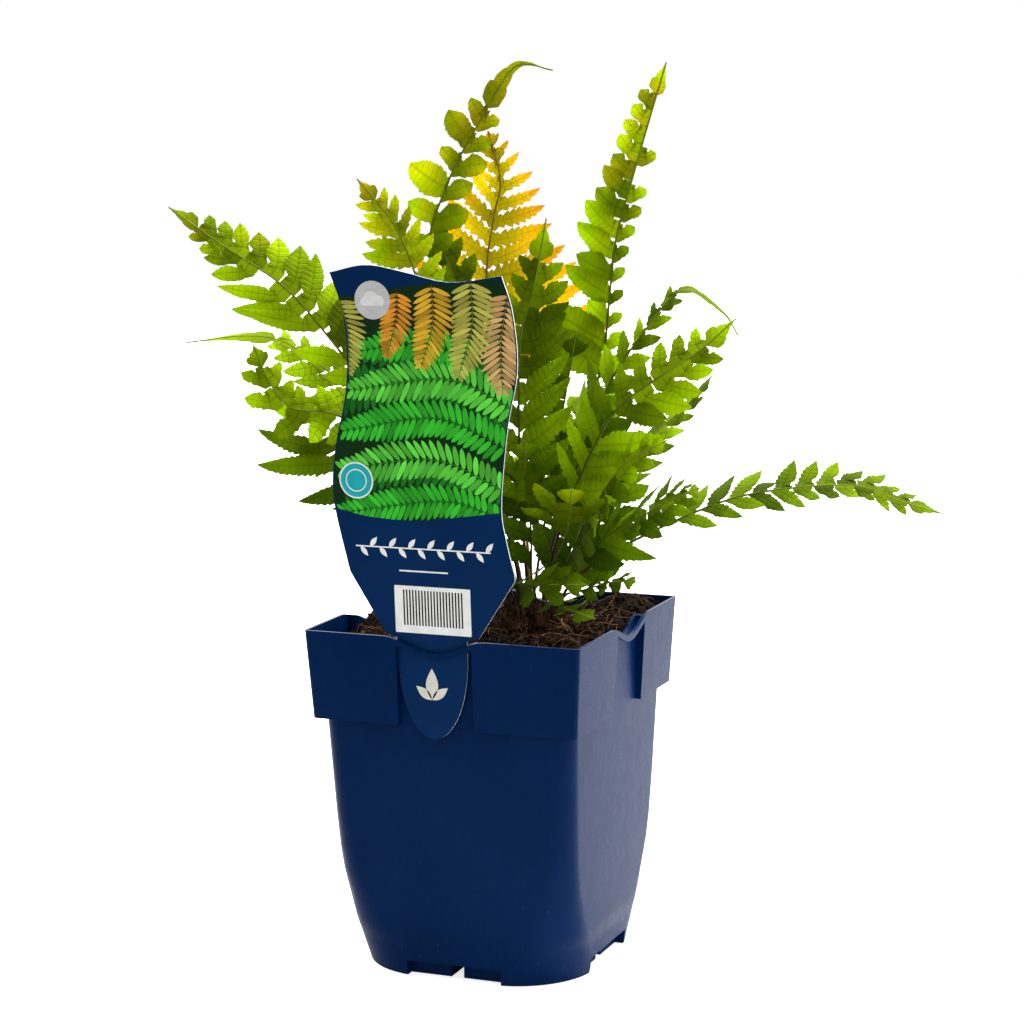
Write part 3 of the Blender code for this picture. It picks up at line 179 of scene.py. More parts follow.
# Every frond: its route from the root, the bare part of its stem, its pairs of pinnae, their lengths on the
# left and on the right at even steps along the blade, their angles to the rachis at the blade's two ends,
# left and right, their breadth for their length there, and how far the leaf has turned from green to copper.
FRONDS = {
    "frond_top_tall": dict(
        route=((9, 8), (4, 8, 190), (-15, 9, 234), (-34, 10, 313), (-28, 15, 348), (-12, 23, 381),
        (2, 27, 402), (19, 29, 400)), face=((0.1, -0.95, 0.2), FRONT), bare=0.6, pairs=10,
        left=(17, 12, 20, 9, 16, 7, 6, 4, 2, 1), right=(9, 18, 12, 15, 10, 8, 6, 4, 2, 1),
        sweeps=((98, 34), (52, 32)), droop=0.08, breadth=(0.8, 0.8), blunt=3.6, wing=0.24, notch=0.08,
        tone=0.35),
    "frond_top_copper": dict(
        route=((10, 17), (4, 27, 195), (-10, 37, 236), (-21, 45, 300), (-18, 47, 333), (-14, 46, 350),
        (-17, 39, 373)), bare=0.5, pairs=13, left=(48, 41, 30, 19, 10, 3), right=(56, 47, 33, 21, 11, 3),
        sweeps=((68, 54), (84, 56)), droop=0.04, breadth=(0.24, 0.5), wing=0.08, notch=0.4, tone=1.0),
    "frond_top_left": dict(
        route=((4, 6), (-2, -1, 190), (-15, -8, 236), (-29, -10, 299), (-40, -10, 328), (-48, -11, 340),
        (-60, -11, 353)), bare=0.62, pairs=11, left=(24, 23, 20, 15, 8, 2), right=(15, 16, 15, 11, 7, 2),
        sweeps=((66, 42), (62, 40)), droop=0.05, breadth=(0.4, 0.6), blunt=2.4, wing=0.2, notch=0.3,
        tone=0.45),
    "frond_centre_tall": dict(
        route=((14, 5), (14, 1, 190), (13, -1, 232), (14, -1, 281), (19, 3, 304), (23, 9, 335)),
        face=((0.6, -0.75, 0.2), (0.5, -0.8, 0.2)), bare=0.27, pairs=12, left=(20, 22, 20, 16, 12, 8, 2),
        right=(26, 30, 28, 24, 18, 9, 2), sweeps=((68, 40), (66, 40)), droop=0.12, breadth=(0.5, 0.65),
        blunt=2.0, tone=0.05),
    "frond_behind_label": dict(
        route=((6, 13), (-4, 20, 190), (-16, 26, 237), (-26, 28, 292), (-33, 27, 314), (-39, 25, 332)),
        bare=0.55, pairs=7, left=(18, 16, 11, 4), right=(22, 19, 13, 4), sweeps=((60, 40), (60, 40)),
        breadth=(0.5, 0.7), blunt=2.0, tone=0.1),
    "frond_left_long": dict(
        route=((3, 11), (-9, 2, 190), (-31, -12, 232), (-63, -26, 277), (-87, -31, 305), (-118, -37, 326),
        (-140, -40, 341)), face=((0.3, -0.75, 0.6), (0.3, -0.8, 0.5)), bare=0.42, pairs=15,
        left=(5, 12, 25, 33, 28, 17, 9, 5, 3), right=(30, 31, 27, 20, 13, 8, 3), sweeps=((44, 28), (64, 46)),
        droop=0.06, breadth=(0.6, 0.8), wing=0.34, notch=0.1, tone=0.3),
    "frond_left_thin": dict(
        route=((1, 17), (-12, 17, 192), (-37, 13, 228), (-76, 6, 258), (-102, 2, 276), (-121, -2, 280),
        (-150, -9, 277)), face=((0.15, -0.7, 0.7), (0.1, -0.35, 0.95)), bare=0.42, pairs=13,
        left=(24, 24, 17, 8, 5, 2), right=(22, 20, 14, 8, 5, 2), sweeps=((64, 34), (64, 34)), droop=0.08,
        breadth=(0.45, 0.7), blunt=2.4, notch=0.2, tone=0.2),
    "frond_left_front": dict(
        route=((7, 0), (-3, -14, 190), (-22, -33, 221), (-48, -52, 250), (-69, -65, 256), (-78, -68, 269),
        (-84, -69, 283)), face=((0.2, -0.6, 0.75), FRONT), bare=0.5, pairs=8, left=(14, 15, 16, 15, 10, 4),
        right=(16, 14, 12, 10, 8, 4), sweeps=((66, 44), (70, 44)), droop=0.08, breadth=(0.6, 0.65), blunt=3.0,
        tone=0.2),
    "frond_left_low": dict(
        route=((-2, 6), (-14, 3, 180), (-40, -5, 204), (-64, -9, 220), (-76, -10, 238), (-82, -12, 256)),
        face=((0.3, -0.8, 0.5), FRONT), bare=0.55, pairs=8, left=(22, 34, 38, 33, 22, 7),
        right=(20, 25, 24, 18, 10, 4), sweeps=((52, 62), (56, 45)), droop=0.06, breadth=(0.3, 0.5), blunt=2.4,
        tone=0.1),
    "frond_right_tall": dict(
        route=((17, 20), (20, 26, 190), (26, 34, 219), (35, 47, 268), (38, 50, 300), (41, 51, 325),
        (52, 53, 364), (64, 54, 403)), face=((-0.3, -0.9, 0.3), FRONT), bare=0.44, pairs=16,
        left=(42, 26, 21, 18, 13, 10, 7, 3), right=(12, 8, 7, 9, 8, 7, 5, 3), sweeps=((76, 46), (46, 34)),
        droop=0.06, breadth=(0.7, 1.0), blunt=3.0, wing=0.34, notch=0.08, tone=0.3),
    "frond_right_arch": dict(
        route=((20, 11), (25, 9, 190), (35, 8, 218), (49, 11, 257), (65, 18, 284), (81, 27, 303),
        (96, 37, 293), (102, 41, 282)), face=((-0.3, -0.7, 0.6), (0.0, -0.3, 0.95)), bare=0.42, pairs=11,
        left=(32, 24, 12, 7, 5, 2), right=(28, 18, 12, 7, 5, 2), sweeps=((66, 34), (60, 34)),
        breadth=(0.5, 0.6), tone=0.15),
    "frond_right_bright": dict(
        route=((22, 4), (31, -4, 190), (44, -14, 217), (64, -19, 252), (82, -16, 267), (100, -7, 280),
        (113, 3, 293)), face=((-0.1, -0.85, 0.5), (0.1, -0.85, 0.4)), bare=0.38, pairs=11,
        left=(20, 20, 16, 14, 9, 3), right=(28, 31, 26, 18, 9, 3), sweeps=((68, 42), (48, 34)), droop=0.06,
        breadth=(0.5, 0.6), blunt=2.8, tone=0.35),
    "frond_right_back": dict(
        route=((22, 18), (26, 31, 185), (31, 49, 206), (49, 72, 229), (65, 85, 246), (74, 90, 258)),
        face=((-0.2, -0.4, 0.9), (-0.2, -0.35, 0.9)), bare=0.36, pairs=8, left=(24, 20, 11, 3),
        right=(26, 20, 11, 3), sweeps=((64, 40), (64, 40)), breadth=(0.45, 0.6), blunt=2.2, tone=0.1),
    "frond_right_mid": dict(
        route=((25, 9), (36, -2, 182), (52, -17, 206), (71, -28, 230), (92, -28, 243)),
        face=((0.1, -0.6, 0.8), (0.2, -0.6, 0.75)), bare=0.34, pairs=8, left=(22, 20, 14, 4),
        right=(26, 22, 14, 4), sweeps=((64, 42), (60, 40)), breadth=(0.5, 0.6), tone=0.3),
    "frond_centre_low": dict(
        route=((17, -1), (28, -10, 177), (40, -20, 192), (48, -31, 206), (52, -38, 222)),
        face=((0.37, -0.8, 0.5), (0.37, -0.88, 0.3)), bare=0.36, pairs=6, left=(22, 26, 22, 9),
        right=(20, 25, 22, 9), sweeps=((64, 36), (64, 36)), droop=0.06, breadth=(0.55, 0.65), blunt=3.0,
        tone=0.4),
    "frond_inner": dict(
        route=((18, 4.3), (21, -8, 177), (25, -18, 199), (26, -26, 218), (28, -32, 241)),
        face=((0.35, -0.9, 0.3), (0.35, -0.9, 0.3)), bare=0.34, pairs=6, left=(20, 22, 16, 5),
        right=(16, 23, 18, 5), sweeps=((68, 42), (66, 42)), breadth=(0.6, 0.7), tone=0.0),
    "frond_inner_back": dict(
        route=((14, 12.5), (17, 16, 190), (21, 19, 220), (26, 22, 252), (31, 24, 282)),
        face=((0.35, -0.9, 0.3), (0.35, -0.9, 0.3)), bare=0.4, pairs=7, left=(20, 21, 16, 5),
        right=(24, 24, 17, 5), sweeps=((66, 42), (64, 42)), breadth=(0.5, 0.65), tone=0.0),
    "frond_far_right": dict(
        route=((27, 15), (44, 23, 181), (84, 41, 202), (111, 54, 210), (147, 71, 212), (166, 79, 205),
        (186, 84, 199)), face=((-0.1, -0.5, 0.85), (0.0, -0.45, 0.9)), bare=0.38, pairs=13,
        left=(22, 24, 20, 16, 11, 3), right=(16, 17, 14, 11, 8, 3), sweeps=((60, 38), (58, 38)), droop=0.12,
        breadth=(0.45, 0.6), tone=0.25),
    "frond_right_low": dict(
        route=((27, 2), (40, -1, 180), (56, -3, 196), (78, -5, 209), (98, -1, 219)),
        face=((0.0, -0.6, 0.8), (0.0, -0.5, 0.85)), bare=0.38, pairs=9, left=(22, 22, 15, 4),
        right=(26, 24, 15, 4), sweeps=((60, 40), (60, 40)), breadth=(0.42, 0.55), blunt=2.4, tone=0.2),
    "frond_low_front": dict(
        route=((11, -3), (13, -18, 172), (24, -37, 178), (42, -44, 180), (58, -37, 180)),
        face=((0.3, -0.6, 0.75), (0.2, -0.6, 0.75)), bare=0.4, pairs=5, left=(15, 15, 12, 5),
        right=(14, 14, 11, 5), sweeps=((64, 46), (64, 46)), droop=0.08, breadth=(0.65, 0.7), blunt=3.0,
        tone=0.15),
    "frond_low_small": dict(
        route=((21, -4), (31, -20, 168), (50, -36, 168), (64, -42, 166)),
        face=((0.2, -0.5, 0.85), (0.2, -0.5, 0.85)), bare=0.5, pairs=3, left=(10, 10, 8, 4),
        right=(9, 9, 8, 4), sweeps=((58, 46), (58, 46)), droop=0.05, breadth=(0.7, 0.7), blunt=3.0,
        tone=0.25),
    "frond_low_right": dict(
        route=((29.5, 7.5), (42, 8, 169), (54, 7, 173), (66, 6, 174)),
        face=((0.2, -0.5, 0.85), (0.2, -0.5, 0.85)), bare=0.45, pairs=4, left=(8, 9, 7, 3),
        right=(10, 10, 8, 3), sweeps=((60, 46), (60, 46)), droop=0.05, breadth=(0.6, 0.7), tone=0.2),
    "frond_low_back": dict(
        route=((24, 17), (29, 23, 179), (36, 27, 193), (44, 28, 207), (51, 27, 222)),
        face=((0.37, -0.9, 0.3), (0.37, -0.9, 0.2)), bare=0.26, pairs=6, left=(24, 25, 20, 7),
        right=(22, 24, 19, 7), sweeps=((70, 38), (68, 38)), droop=0.08, breadth=(0.6, 0.68), blunt=2.8,
        tone=0.0),
    "frond_back_left": dict(
        route=((6, 19), (-8, 36, 190), (-32, 58, 222), (-58, 76, 240), (-80, 88, 240)),
        face=((0.3, -0.3, 0.9), (0.2, -0.1, 0.97)), bare=0.36, pairs=8, left=(26, 22, 12, 3),
        right=(26, 22, 12, 3), sweeps=((66, 42), (66, 42)), droop=0.12, breadth=(0.42, 0.6), blunt=2.4,
        tone=0.1),
    "frond_back": dict(
        route=((14, 24), (12, 44, 195), (14, 68, 232), (20, 90, 250), (26, 108, 248)),
        face=((0.0, -0.4, 0.9), (0.0, 0.1, 0.99)), bare=0.36, pairs=8, left=(28, 24, 13, 3),
        right=(28, 24, 13, 3), sweeps=((66, 42), (66, 42)), droop=0.12, breadth=(0.42, 0.6), blunt=2.4,
        tone=0.15),
}

# Leaves: the rows that draw each lobe along a pinna, and the columns from its stipe side to its tip side.
SAME_PLACE = 0.05  # a solid's corner is this close to where it is expected
SLIMMING = 0.3  # how much of a solid pinna's slimming the leaf takes over
LOBE_PITCH_FINE = (2.3, 3.4)  # from one tooth to the next on a smooth pinna and on a deeply cut one
DEEP_CUT = 0.3  # the depth of notch from which a pinna counts as deeply cut
TOOTH_PEAK = 0.72  # where a tooth's tip lies, from the notch before it to the one after
LOBE_ROWS = np.array((0.0, 0.12, 0.4, TOOTH_PEAK, 0.9))
TIP_ROWS = np.array((0.0, 0.2, 0.45, 0.7, 0.88, 1.0))
COLUMNS = (-1.0, -0.75, -0.35, 0.0, 0.35, 0.75, 1.0)
LEAF_HALF = 0.15
LOBE_LEAN = 0.35
FULLER = 1.3  # how much blunter a leaf's end is than its solid's
POINTED = 0.45  # how much straighter a pinna's edge on the side of the frond's tip runs to its own tip
FLARE = (0.3, 0.7)  # part of a pinna over which its base widens, where the rachis is plain and winged
BASE_WIDTH = (0.4, 0.53)  # half width of a pinna's base there, in parts of the way to the next pinna
DOME = 0.16
CUP = 0.12
COSTA_DEPTH = 0.12
CREST_REACH = 6.0  # where pinnae reach less than this from the rachis, they have grown together
CREST_FROM = 0.62  # part of the blade below which they never have
CREST_ROWS = np.array((0.0, 0.3, 0.55, 0.8, 0.93))
CREST_LEAN = 0.75
CREST_CUT = 0.24  # least depth of its notches, in parts of its half width
CREST_CLOSING = 1.7  # the power by which it closes to its point
LEAF_END = 0.997  # part of a pinna's length that its leaf reaches
LEAF_RIM = 0.6  # thickness at a leaf's edge, in parts of the full one
LEAST_HALF = 0.1  # of a leaf, at its tip and in its notches
LOBE_SIZES = (0.95, 1.05)
CUT_AT_BASE = 1.15  # depth of the first notches, in parts of the pinna's
UNEVEN = 0.04  # how much a leaf's edge wavers
WAVES = 1.3  # waves along a pinna, which lift one side and lower the other
WAVE_HEIGHT = 0.35
STEM_STEP = 3.5
STEM_SIDES = 10
DIRECTION_REACH = 3.0  # the rachis's direction is taken from this far on either side

# Peat and what lies on it.
SEED = 7
SOIL_LUMPS = ((9.0, 1.1, 1), (4.2, 0.8, 2), (2.1, 0.45, 3))
SLOT_INSIDE = 58.3
PEAT_RINGS = 64
PEAT_STEPS = 3
PEAT_COLUMNS = 256
# The body of peat below the surface: height, half width and corner radius.
PEAT_BODY = (
    (10.0, 46.0, 20.0), (18.0, 53.0, 25.0), (33.0, 54.0, 18.0), (57.0, 55.2, 10.0), (112.0, 57.2, 6.0),
    (120.0, 58.2, 2.0),
)
SMOOTH = 180.0  # degrees: no edge is sharp
SHARP = 50.0  # degrees: edges that turn further are sharp, on scales and on the tag
CRUMBS = 2600
CRUMB_SIZES = (0.35, 1.7)  # smallest radius, and how much larger the largest is
CRUMB_RARITY = 5  # how rare large crumbs are
CRUMB_EDGE = 1.5  # how far from the wall they stay
CRUMB_LIFT = (-0.1, 0.55)  # how far their middles lie above the peat, in parts of their size
CRUMB_LUMPS = (0.62, 1.25)
CRUMB_STRETCH = (0.65, 1.3)
CRUMB_POINTS = 12
CRUMB_SHARP = 20.0
ROOTS = 520
ROOT_LENGTHS = (6, 30)
ROOT_STEPS = 12
ROOT_SIDES = 5
ROOT_EDGE = 5.0
ROOT_CURL = 0.15  # about how many radians a root turns the same way at every step
ROOT_WANDER = 0.3  # about how many radians it wavers there
ROOT_ARCH = (0.2, 4.5)  # how high it arches at least, and how much more at most
ROOT_THICK = (0.07, 0.24)  # its least radius, and how much more the thickest has
CROWN_GRID = (22, 48)  # rows from its foot to its top, and columns round it
CROWN_CORE = 0.97  # size of its core, in parts of the solid's
CROWN_SCALES = 700
SCALE_ROOTS = 0.96  # where its scales start, in parts of the solid's size
SCALE_DEPTH = 0.25  # thickness of a scale, in parts of its width
CROWN_SCALE_LENGTHS = (2.0, 4.6)
CROWN_SCALE_WIDTHS = (0.4, 0.9)
STIPE_SCALES = 46
STIPE_SCALE_LENGTHS = (1.6, 4.2)
STIPE_SCALE_SLIM = (0.17, 0.05)  # width and thickness, in parts of the length
SCALE_POINTS = 6
SCALE_BELLY = 0.4  # where a scale is widest, in parts of its length

# The four sides, as the x and y of the front's side and outward ways.
SIDE_TURNS = ((1, 0, 0, 1), (0, -1, -1, 0), (-1, 0, 0, -1), (0, 1, 1, 0))
DRAIN_RADIUS = 2.4
DRAIN_SIDES = 24
DRAIN_AT = 30.0
WELD = 0.02  # points of the pot closer than this are one

# Print on the tag, as places across it and above its fold.
INK = 0.012
PICTURE_FOOT = ((-46.3, 64.6), (-30.0, 61.6), (-7.5, 61.0), (12.0, 63.6), (30.4, 66.3))
PICTURE_TOP = ((-45.0, 157.0), (-30.0, 158.7), (-16.0, 161.4), (0.4, 163.6), (10.0, 163.4), (34.0, 166.4))
PICTURE_SIDES = (66.0, 156.0)  # the heights between which it reaches the tag's sides
PICTURE_GROUND = (0.006, 0.03, 0.008)
LEAF_INKS = (
    (0.015, 0.17, 0.018), (0.04, 0.5, 0.03), (0.12, 0.68, 0.06), (0.72, 0.42, 0.03), (0.52, 0.5, 0.09),
    (0.68, 0.42, 0.16), (0.74, 0.3, 0.03),
)
RING_SIDES = 36
LEAF_LEVELS = (1.6, 0.8)  # the first printed leaf's layer, and how many layers above it each next one lies
LEAFLET_TURN = (68, 22)  # degrees from the midrib at its foot, and how many fewer at its tip
LEAFLET_LENGTHS = (0.92, 1.05)
LEAFLET_SHADES = (0.6, 1.25)
LEAFLET_BLUNT = 2.2
LEAFLET_LEAST = 0.8  # narrower leaflets are left out
MIDRIB_HALF = 0.16
MIDRIB_SHADE = 0.35
# Each printed leaf: its midrib, its leaflets' lengths, how many pairs it has, and its ink.
SPRIGS = (
    (((-44.0, 132.0), (-10.0, 126.0), (30.0, 134.0)), (12, 13, 12), 20, 0),
    (((-46.0, 104.0), (-10.0, 112.0), (36.0, 108.0)), (13, 14, 13), 24, 0),
    (((-44.0, 70.0), (-6.0, 76.0), (30.0, 70.0)), (12, 13, 12), 22, 0),
    (((30.0, 64.0), (4.0, 70.0), (-44.0, 63.0)), (6, 9, 10, 5), 26, 1),
    (((32.0, 76.0), (0.0, 88.0), (-44.0, 82.0)), (8, 10, 11, 5), 26, 2),
    (((34.0, 94.0), (2.0, 106.0), (-42.0, 99.0)), (9, 10, 11, 5), 26, 1),
    (((38.0, 111.0), (8.0, 123.0), (-38.0, 117.0)), (9, 11, 11, 5), 26, 2),
    (((20.0, 133.0), (-6.0, 138.0), (-34.0, 134.0)), (8, 9, 9, 4), 18, 1),
    (((37.0, 160.0), (33.0, 140.0), (33.0, 118.0)), (9, 12, 11, 3), 18, 5),
    (((20.0, 165.0), (20.0, 146.0), (13.0, 124.0)), (10, 12, 10, 3), 18, 4),
    (((2.0, 163.0), (2.0, 147.0), (-4.0, 128.0)), (9, 11, 9, 3), 16, 3),
    (((-14.0, 160.0), (-15.0, 148.0), (-20.0, 132.0)), (7, 9, 7, 2), 14, 6),
    (((-42.0, 156.0), (-38.0, 144.0), (-38.0, 124.0)), (8, 10, 8, 2), 16, 4),
)
DISC_CENTRE = (-25.7, 156.2)
DISC_RADIUS = 8.3
DISC_GREY = (0.6, 0.61, 0.6)
CLOUD = ((-3.4, -0.8, 2.2), (-0.6, 0.6, 3.3), (3.0, -0.4, 2.5), (0.0, -1.0, 2.0))  # its puffs: x, y, radius
CLOUD_BASE = -2.4
CLOUD_SIDES = 64
CLOUD_WHITE = (0.84, 0.85, 0.84)
BADGE_CENTRE = (-36.8, 77.5)
BADGE_RADII = (8.1, 7.4, 5.022, 4.522)  # of its white and its tinted rings, in turn
PAPER_WHITE = (0.9, 0.9, 0.88)
INK_BLACK = (0.02, 0.02, 0.022)
TONGUE_CREAM = (0.72, 0.7, 0.62)
PANEL = ((-2.9, 21.4), (17.9, 10.5))
PANEL_CORNER = 0.5
BAR_RANGE = (-16.4, 10.9)
BAR_HEIGHT = 22.2
BAR_HALF = (0.36, 7.9)
BARS = 20
ORNAMENT = (-38.4, 25.2)
ORNAMENT_HEIGHT = 48.5
ORNAMENT_LEAVES = 14
ORNAMENT_LEAF = (5.6, 2.3)  # length and width
ORNAMENT_STEM = 0.3
RULE_HEIGHT = 38.5
RULE_HALF = (11.5, 0.35)
RULE_CORNER = 0.2
TONGUE_MARK = (-4.3, -18.5)
TONGUE_LEAVES = ((90, 14.0), (142, 9.5), (38, 9.5))  # degrees and length of each leaf of the mark
TONGUE_LEAF_SLIM = 0.42  # width in parts of the length

# Finishes: marks per metre of the broad clouds and of the fine grit, roughness where the grit is low and
# high, shine, and the strength of the relief and its depth in metres.
FINISHES = {
    "fern_leaf": dict(broad=75.0, fine=1400.0, rough=(0.42, 0.6), shine=0.04, strength=0.6, depth=0.0005),
    "fern_stipe": dict(broad=140.0, fine=1800.0, rough=(0.4, 0.62), shine=0.08, strength=0.4, depth=0.0003),
    "fern_rhizome": dict(broad=220.0, fine=2200.0, rough=(0.6, 0.9), shine=0.03, strength=0.8, depth=0.001),
    "peat": dict(broad=170.0, fine=1300.0, rough=(0.75, 1.0), shine=0.03, strength=0.9, depth=0.0012),
    "root_fibre": dict(broad=300.0, fine=2500.0, rough=(0.8, 0.8), shine=0.15, strength=0.5, depth=0.0003),
    "pot_plastic": dict(broad=22.0, fine=2600.0, rough=(0.25, 0.31), shine=0.04, strength=0.15, depth=8e-5),
    "tag_card": dict(broad=30.0, fine=3000.0, rough=(0.3, 0.38), shine=0.07, strength=0.15, depth=0.0001),
    "tag_ink": dict(broad=260.0, fine=3000.0, rough=(0.3, 0.38), shine=0.07, strength=0.1, depth=0.0001),
    "tag_core": dict(broad=90.0, fine=2500.0, rough=(0.5, 0.5), shine=0.5, strength=0.3, depth=0.0001),
    "studio_floor": dict(broad=3.0, fine=200.0, rough=(0.9, 0.9), shine=0.5),
}
# Veins, on a map that counts lobes along a leaf and runs from -1 to 1 across it.
COSTA_EDGES = (0.03, 0.13)
MIDVEIN_PHASE = 0.4
MIDVEIN_SLANT = 0.12
MIDVEIN_EDGES = (0.02, 0.1)
SIDE_VEINS = (34.0, 26.0)  # radians of their waves across the leaf and on either side of a midvein
LEAF_PATCHES = 14.0  # wide patches of fresher green, per metre
LEAF_FRESHNESS = (0.2, 0.45, 0.3, 1.2, 0.2)  # shares of clouds, pinna, patches, frond and place on the frond
# Painted shade: the lowest leaves keep this share of their fresh green.
LEAF_SHADED_FRESHNESS = 0.25
LEAF_SHADE_HEIGHTS = (0.14, 0.28)  # painted shade: metres over which leaves turn from the deep green of the shaded lower ones to fresh green
LEAF_LIGHT_HEIGHTS = (0.26, 0.38)  # metres over which painted light starts to yellow the upper leaves
LEAF_TURNING = (0.45, 1.0)  # how far a leaf has turned where it starts to be gold and where it is
LEAF_UNEVEN = 0.25  # how far clouds shift its turning
LEAF_PLACE_AND_LIGHT = (0.1, 0.3)  # how far its place on the frond and the painted light on the upper leaves turn it
LEAF_COPPER_SHARE = 0.6
# Share and shade of the veins, of the costa and of the valleys between lobes; the valleys' darkening is
# painted shade.
LEAF_SHADES = ((0.13, (0.25, 0.3, 0.2)), (0.3, (0.35, 0.4, 0.25)), (0.25, (0.5, 0.55, 0.3)))
LEAF_VALUES = (0.78, 1.2)  # brightness of the darkest and the lightest pinna
BASE_SHADE_VALUES = (0.74, 1.12)  # painted shade: brightness at a pinna's shaded base by the rachis and towards its tip
LEAF_THROUGH = (1.0, 0.95, 0.35)  # tint of the light that comes through a leaf
LEAF_TRANSLUCENCY = 0.62
STIPE_TAN = (0.26, 0.16, 0.03)
# Share and shade of the soiling on stipes, on scales and on ink.
STIPE_SOIL = (0.45, (0.35, 0.3, 0.25))
SCALE_SOIL = (0.5, (0.3, 0.25, 0.2))
INK_SOIL = (0.16, (0.35, 0.35, 0.3))
PALE_GRAIN = (0.05, 0.022, 0.01)
PEAT_PALENESS = 0.7  # of loose crumbs
PEAT_FLECKS = 620.0
FLECK_EDGES = (0.64, 0.74)
FLECK_TAN = (0.13, 0.06, 0.024)
FIBRE_SHADES = ((0.03, 0.012, 0.006), (0.4, 0.21, 0.085))
FIBRE_SOIL = (0.05, 0.024, 0.012)
DUST_SPECKS = 380.0
DUST_EDGES = (0.73, 0.77)
DUST_HEIGHTS = (0.0, 0.05)
DUST_GREY = (0.12, 0.12, 0.12)
SCUFFS = (60.0, 60.0, 22.0)
SCUFF_EDGES = (0.4, 0.75)
CARD_PALER = 1.35
CORE_WHITES = ((0.7, 0.72, 0.74), (0.5, 0.5, 0.48))

# Studio, in metres and degrees.
CAMERA_PLACE = (0.4666, -1.1254, 0.3961)
CAMERA_YAW = 22.14
CAMERA_PITCH = 9.0
CAMERA_ROLL = -0.62
CAMERA_LENS = 95.99
CAMERA_SENSOR = 36.0
WHITE = (1.0, 1.0, 1.0, 1.0)
WORLD_FRONT = 0.8
WORLD_BEHIND = 2.4
WORLD_ABOVE = 1.4
WORLD_TOP = (0.4, 0.95)  # how steeply up the light from above starts and is full
WORLD_TURN = (-0.5, 0.5)  # from where to where it turns from its front to its brighter back
FLOOR_HALF = 4000.0  # millimetres
FLOOR_GAP = 0.3  # millimetres below the pot
FLOOR_WHITES = ((0.86, 0.86, 0.86), (0.88, 0.88, 0.88))
FLOOR_NEAR = (0.04, 0.04, 0.04)  # what the floor reflects in front of the pot
FLOOR_FADE = (-0.7, 0.05)  # from where to where the floor turns from the near to the far one
FLOOR_GLOW = (0.75, 1.0)  # added for the camera, behind the pot and in front
LIGHT_PLACE = (0.35, 0.55, 1.45)
LIGHT_AIM = (0.0, 0.0, 0.25)
LIGHT_POWER = 30.0
LIGHT_SIZE = 0.6


# -------- shapes


def unit(vectors):
    """Vectors scaled to length 1 along their last axis."""
    return vectors / np.linalg.norm(vectors, axis=-1, keepdims=True)


def blend(start, end, part):
    """A straight mix of two values or arrays."""
    return np.asarray(start, float) * (1 - part) + np.asarray(end, float) * part


def smoothstep(value):
    """0 below 0, 1 above 1, and 3v^2 - 2v^3 between."""
    value = np.clip(value, 0.0, 1.0)
    return value * value * (3 - 2 * value)


def turns(count):
    """Even angles all the way round."""
    return np.linspace(0, 2 * math.pi, count, endpoint=False)


def spline(points, steps, before=None):
    """A Catmull-Rom curve through the points, with that many steps between two, as if it came from before."""
    knots = np.asarray(points, float)
    if before is None:
        before = 2 * knots[0] - knots[1]
    knots = np.vstack((before, knots, 2 * knots[-1] - knots[-2]))
    t = (np.arange(steps) / steps)[None, :, None]
    before, start, end, after = (knots[at:len(knots) - 3 + at, None, :] for at in range(4))
    curve = 0.5 * (2 * start + (end - before) * t + (2 * before - 5 * start + 4 * end - after) * t**2
                   + (3 * start - before - 3 * end + after) * t**3)
    return np.vstack((curve.reshape(-1, knots.shape[1]), knots[-2]))


def noise(x, y, cell, seed):
    """Smooth value noise from -1 to 1: random heights on a lattice of this cell, mixed by smoothstep."""
    table = np.random.default_rng(seed).uniform(-1, 1, (64, 64))
    column, row = np.floor(x / cell).astype(int), np.floor(y / cell).astype(int)
    across, up = smoothstep(x / cell - column), smoothstep(y / cell - row)
    corner = [[table[(row + j) % 64, (column + i) % 64] for i in (0, 1)] for j in (0, 1)]
    low = corner[0][0] * (1 - across) + corner[0][1] * across
    high = corner[1][0] * (1 - across) + corner[1][1] * across
    return low * (1 - up) + high * up


class Pile:
    """Points, faces and their attributes, gathered as whole arrays for one mesh."""

    def __init__(self):
        self.points, self.uv, self.tints, self.faces, self.slots = [], [], [], [], []
        self.count = 0

    def add(self, points, faces, uv=None, tints=None, slot=0):
        """Add an array of points and blocks of faces that count from the first of them."""
        points = np.asarray(points, float).reshape(-1, 3)
        self.points.append(points)
        self.uv.append(np.zeros((len(points), 2)) if uv is None else np.asarray(uv, float).reshape(-1, 2))
        tints = (1.0, 1.0, 1.0, 1.0) if tints is None else tints
        self.tints.append(np.broadcast_to(np.asarray(tints, float), (len(points), 4)))
        for block, own_slot in zip(faces, np.broadcast_to(slot, len(faces))):
            self.faces.append(np.asarray(block, np.int64) + self.count)
            self.slots.append(np.full(len(block), own_slot))
        self.count += len(points)

    def make(self, name, finishes, sharp=40.0):
        """The mesh object, with its UV map and its tint attribute."""
        return add_mesh(name, np.vstack(self.points), self.faces, finishes, np.vstack(self.uv),
                        np.vstack(self.tints), np.concatenate(self.slots), sharp)


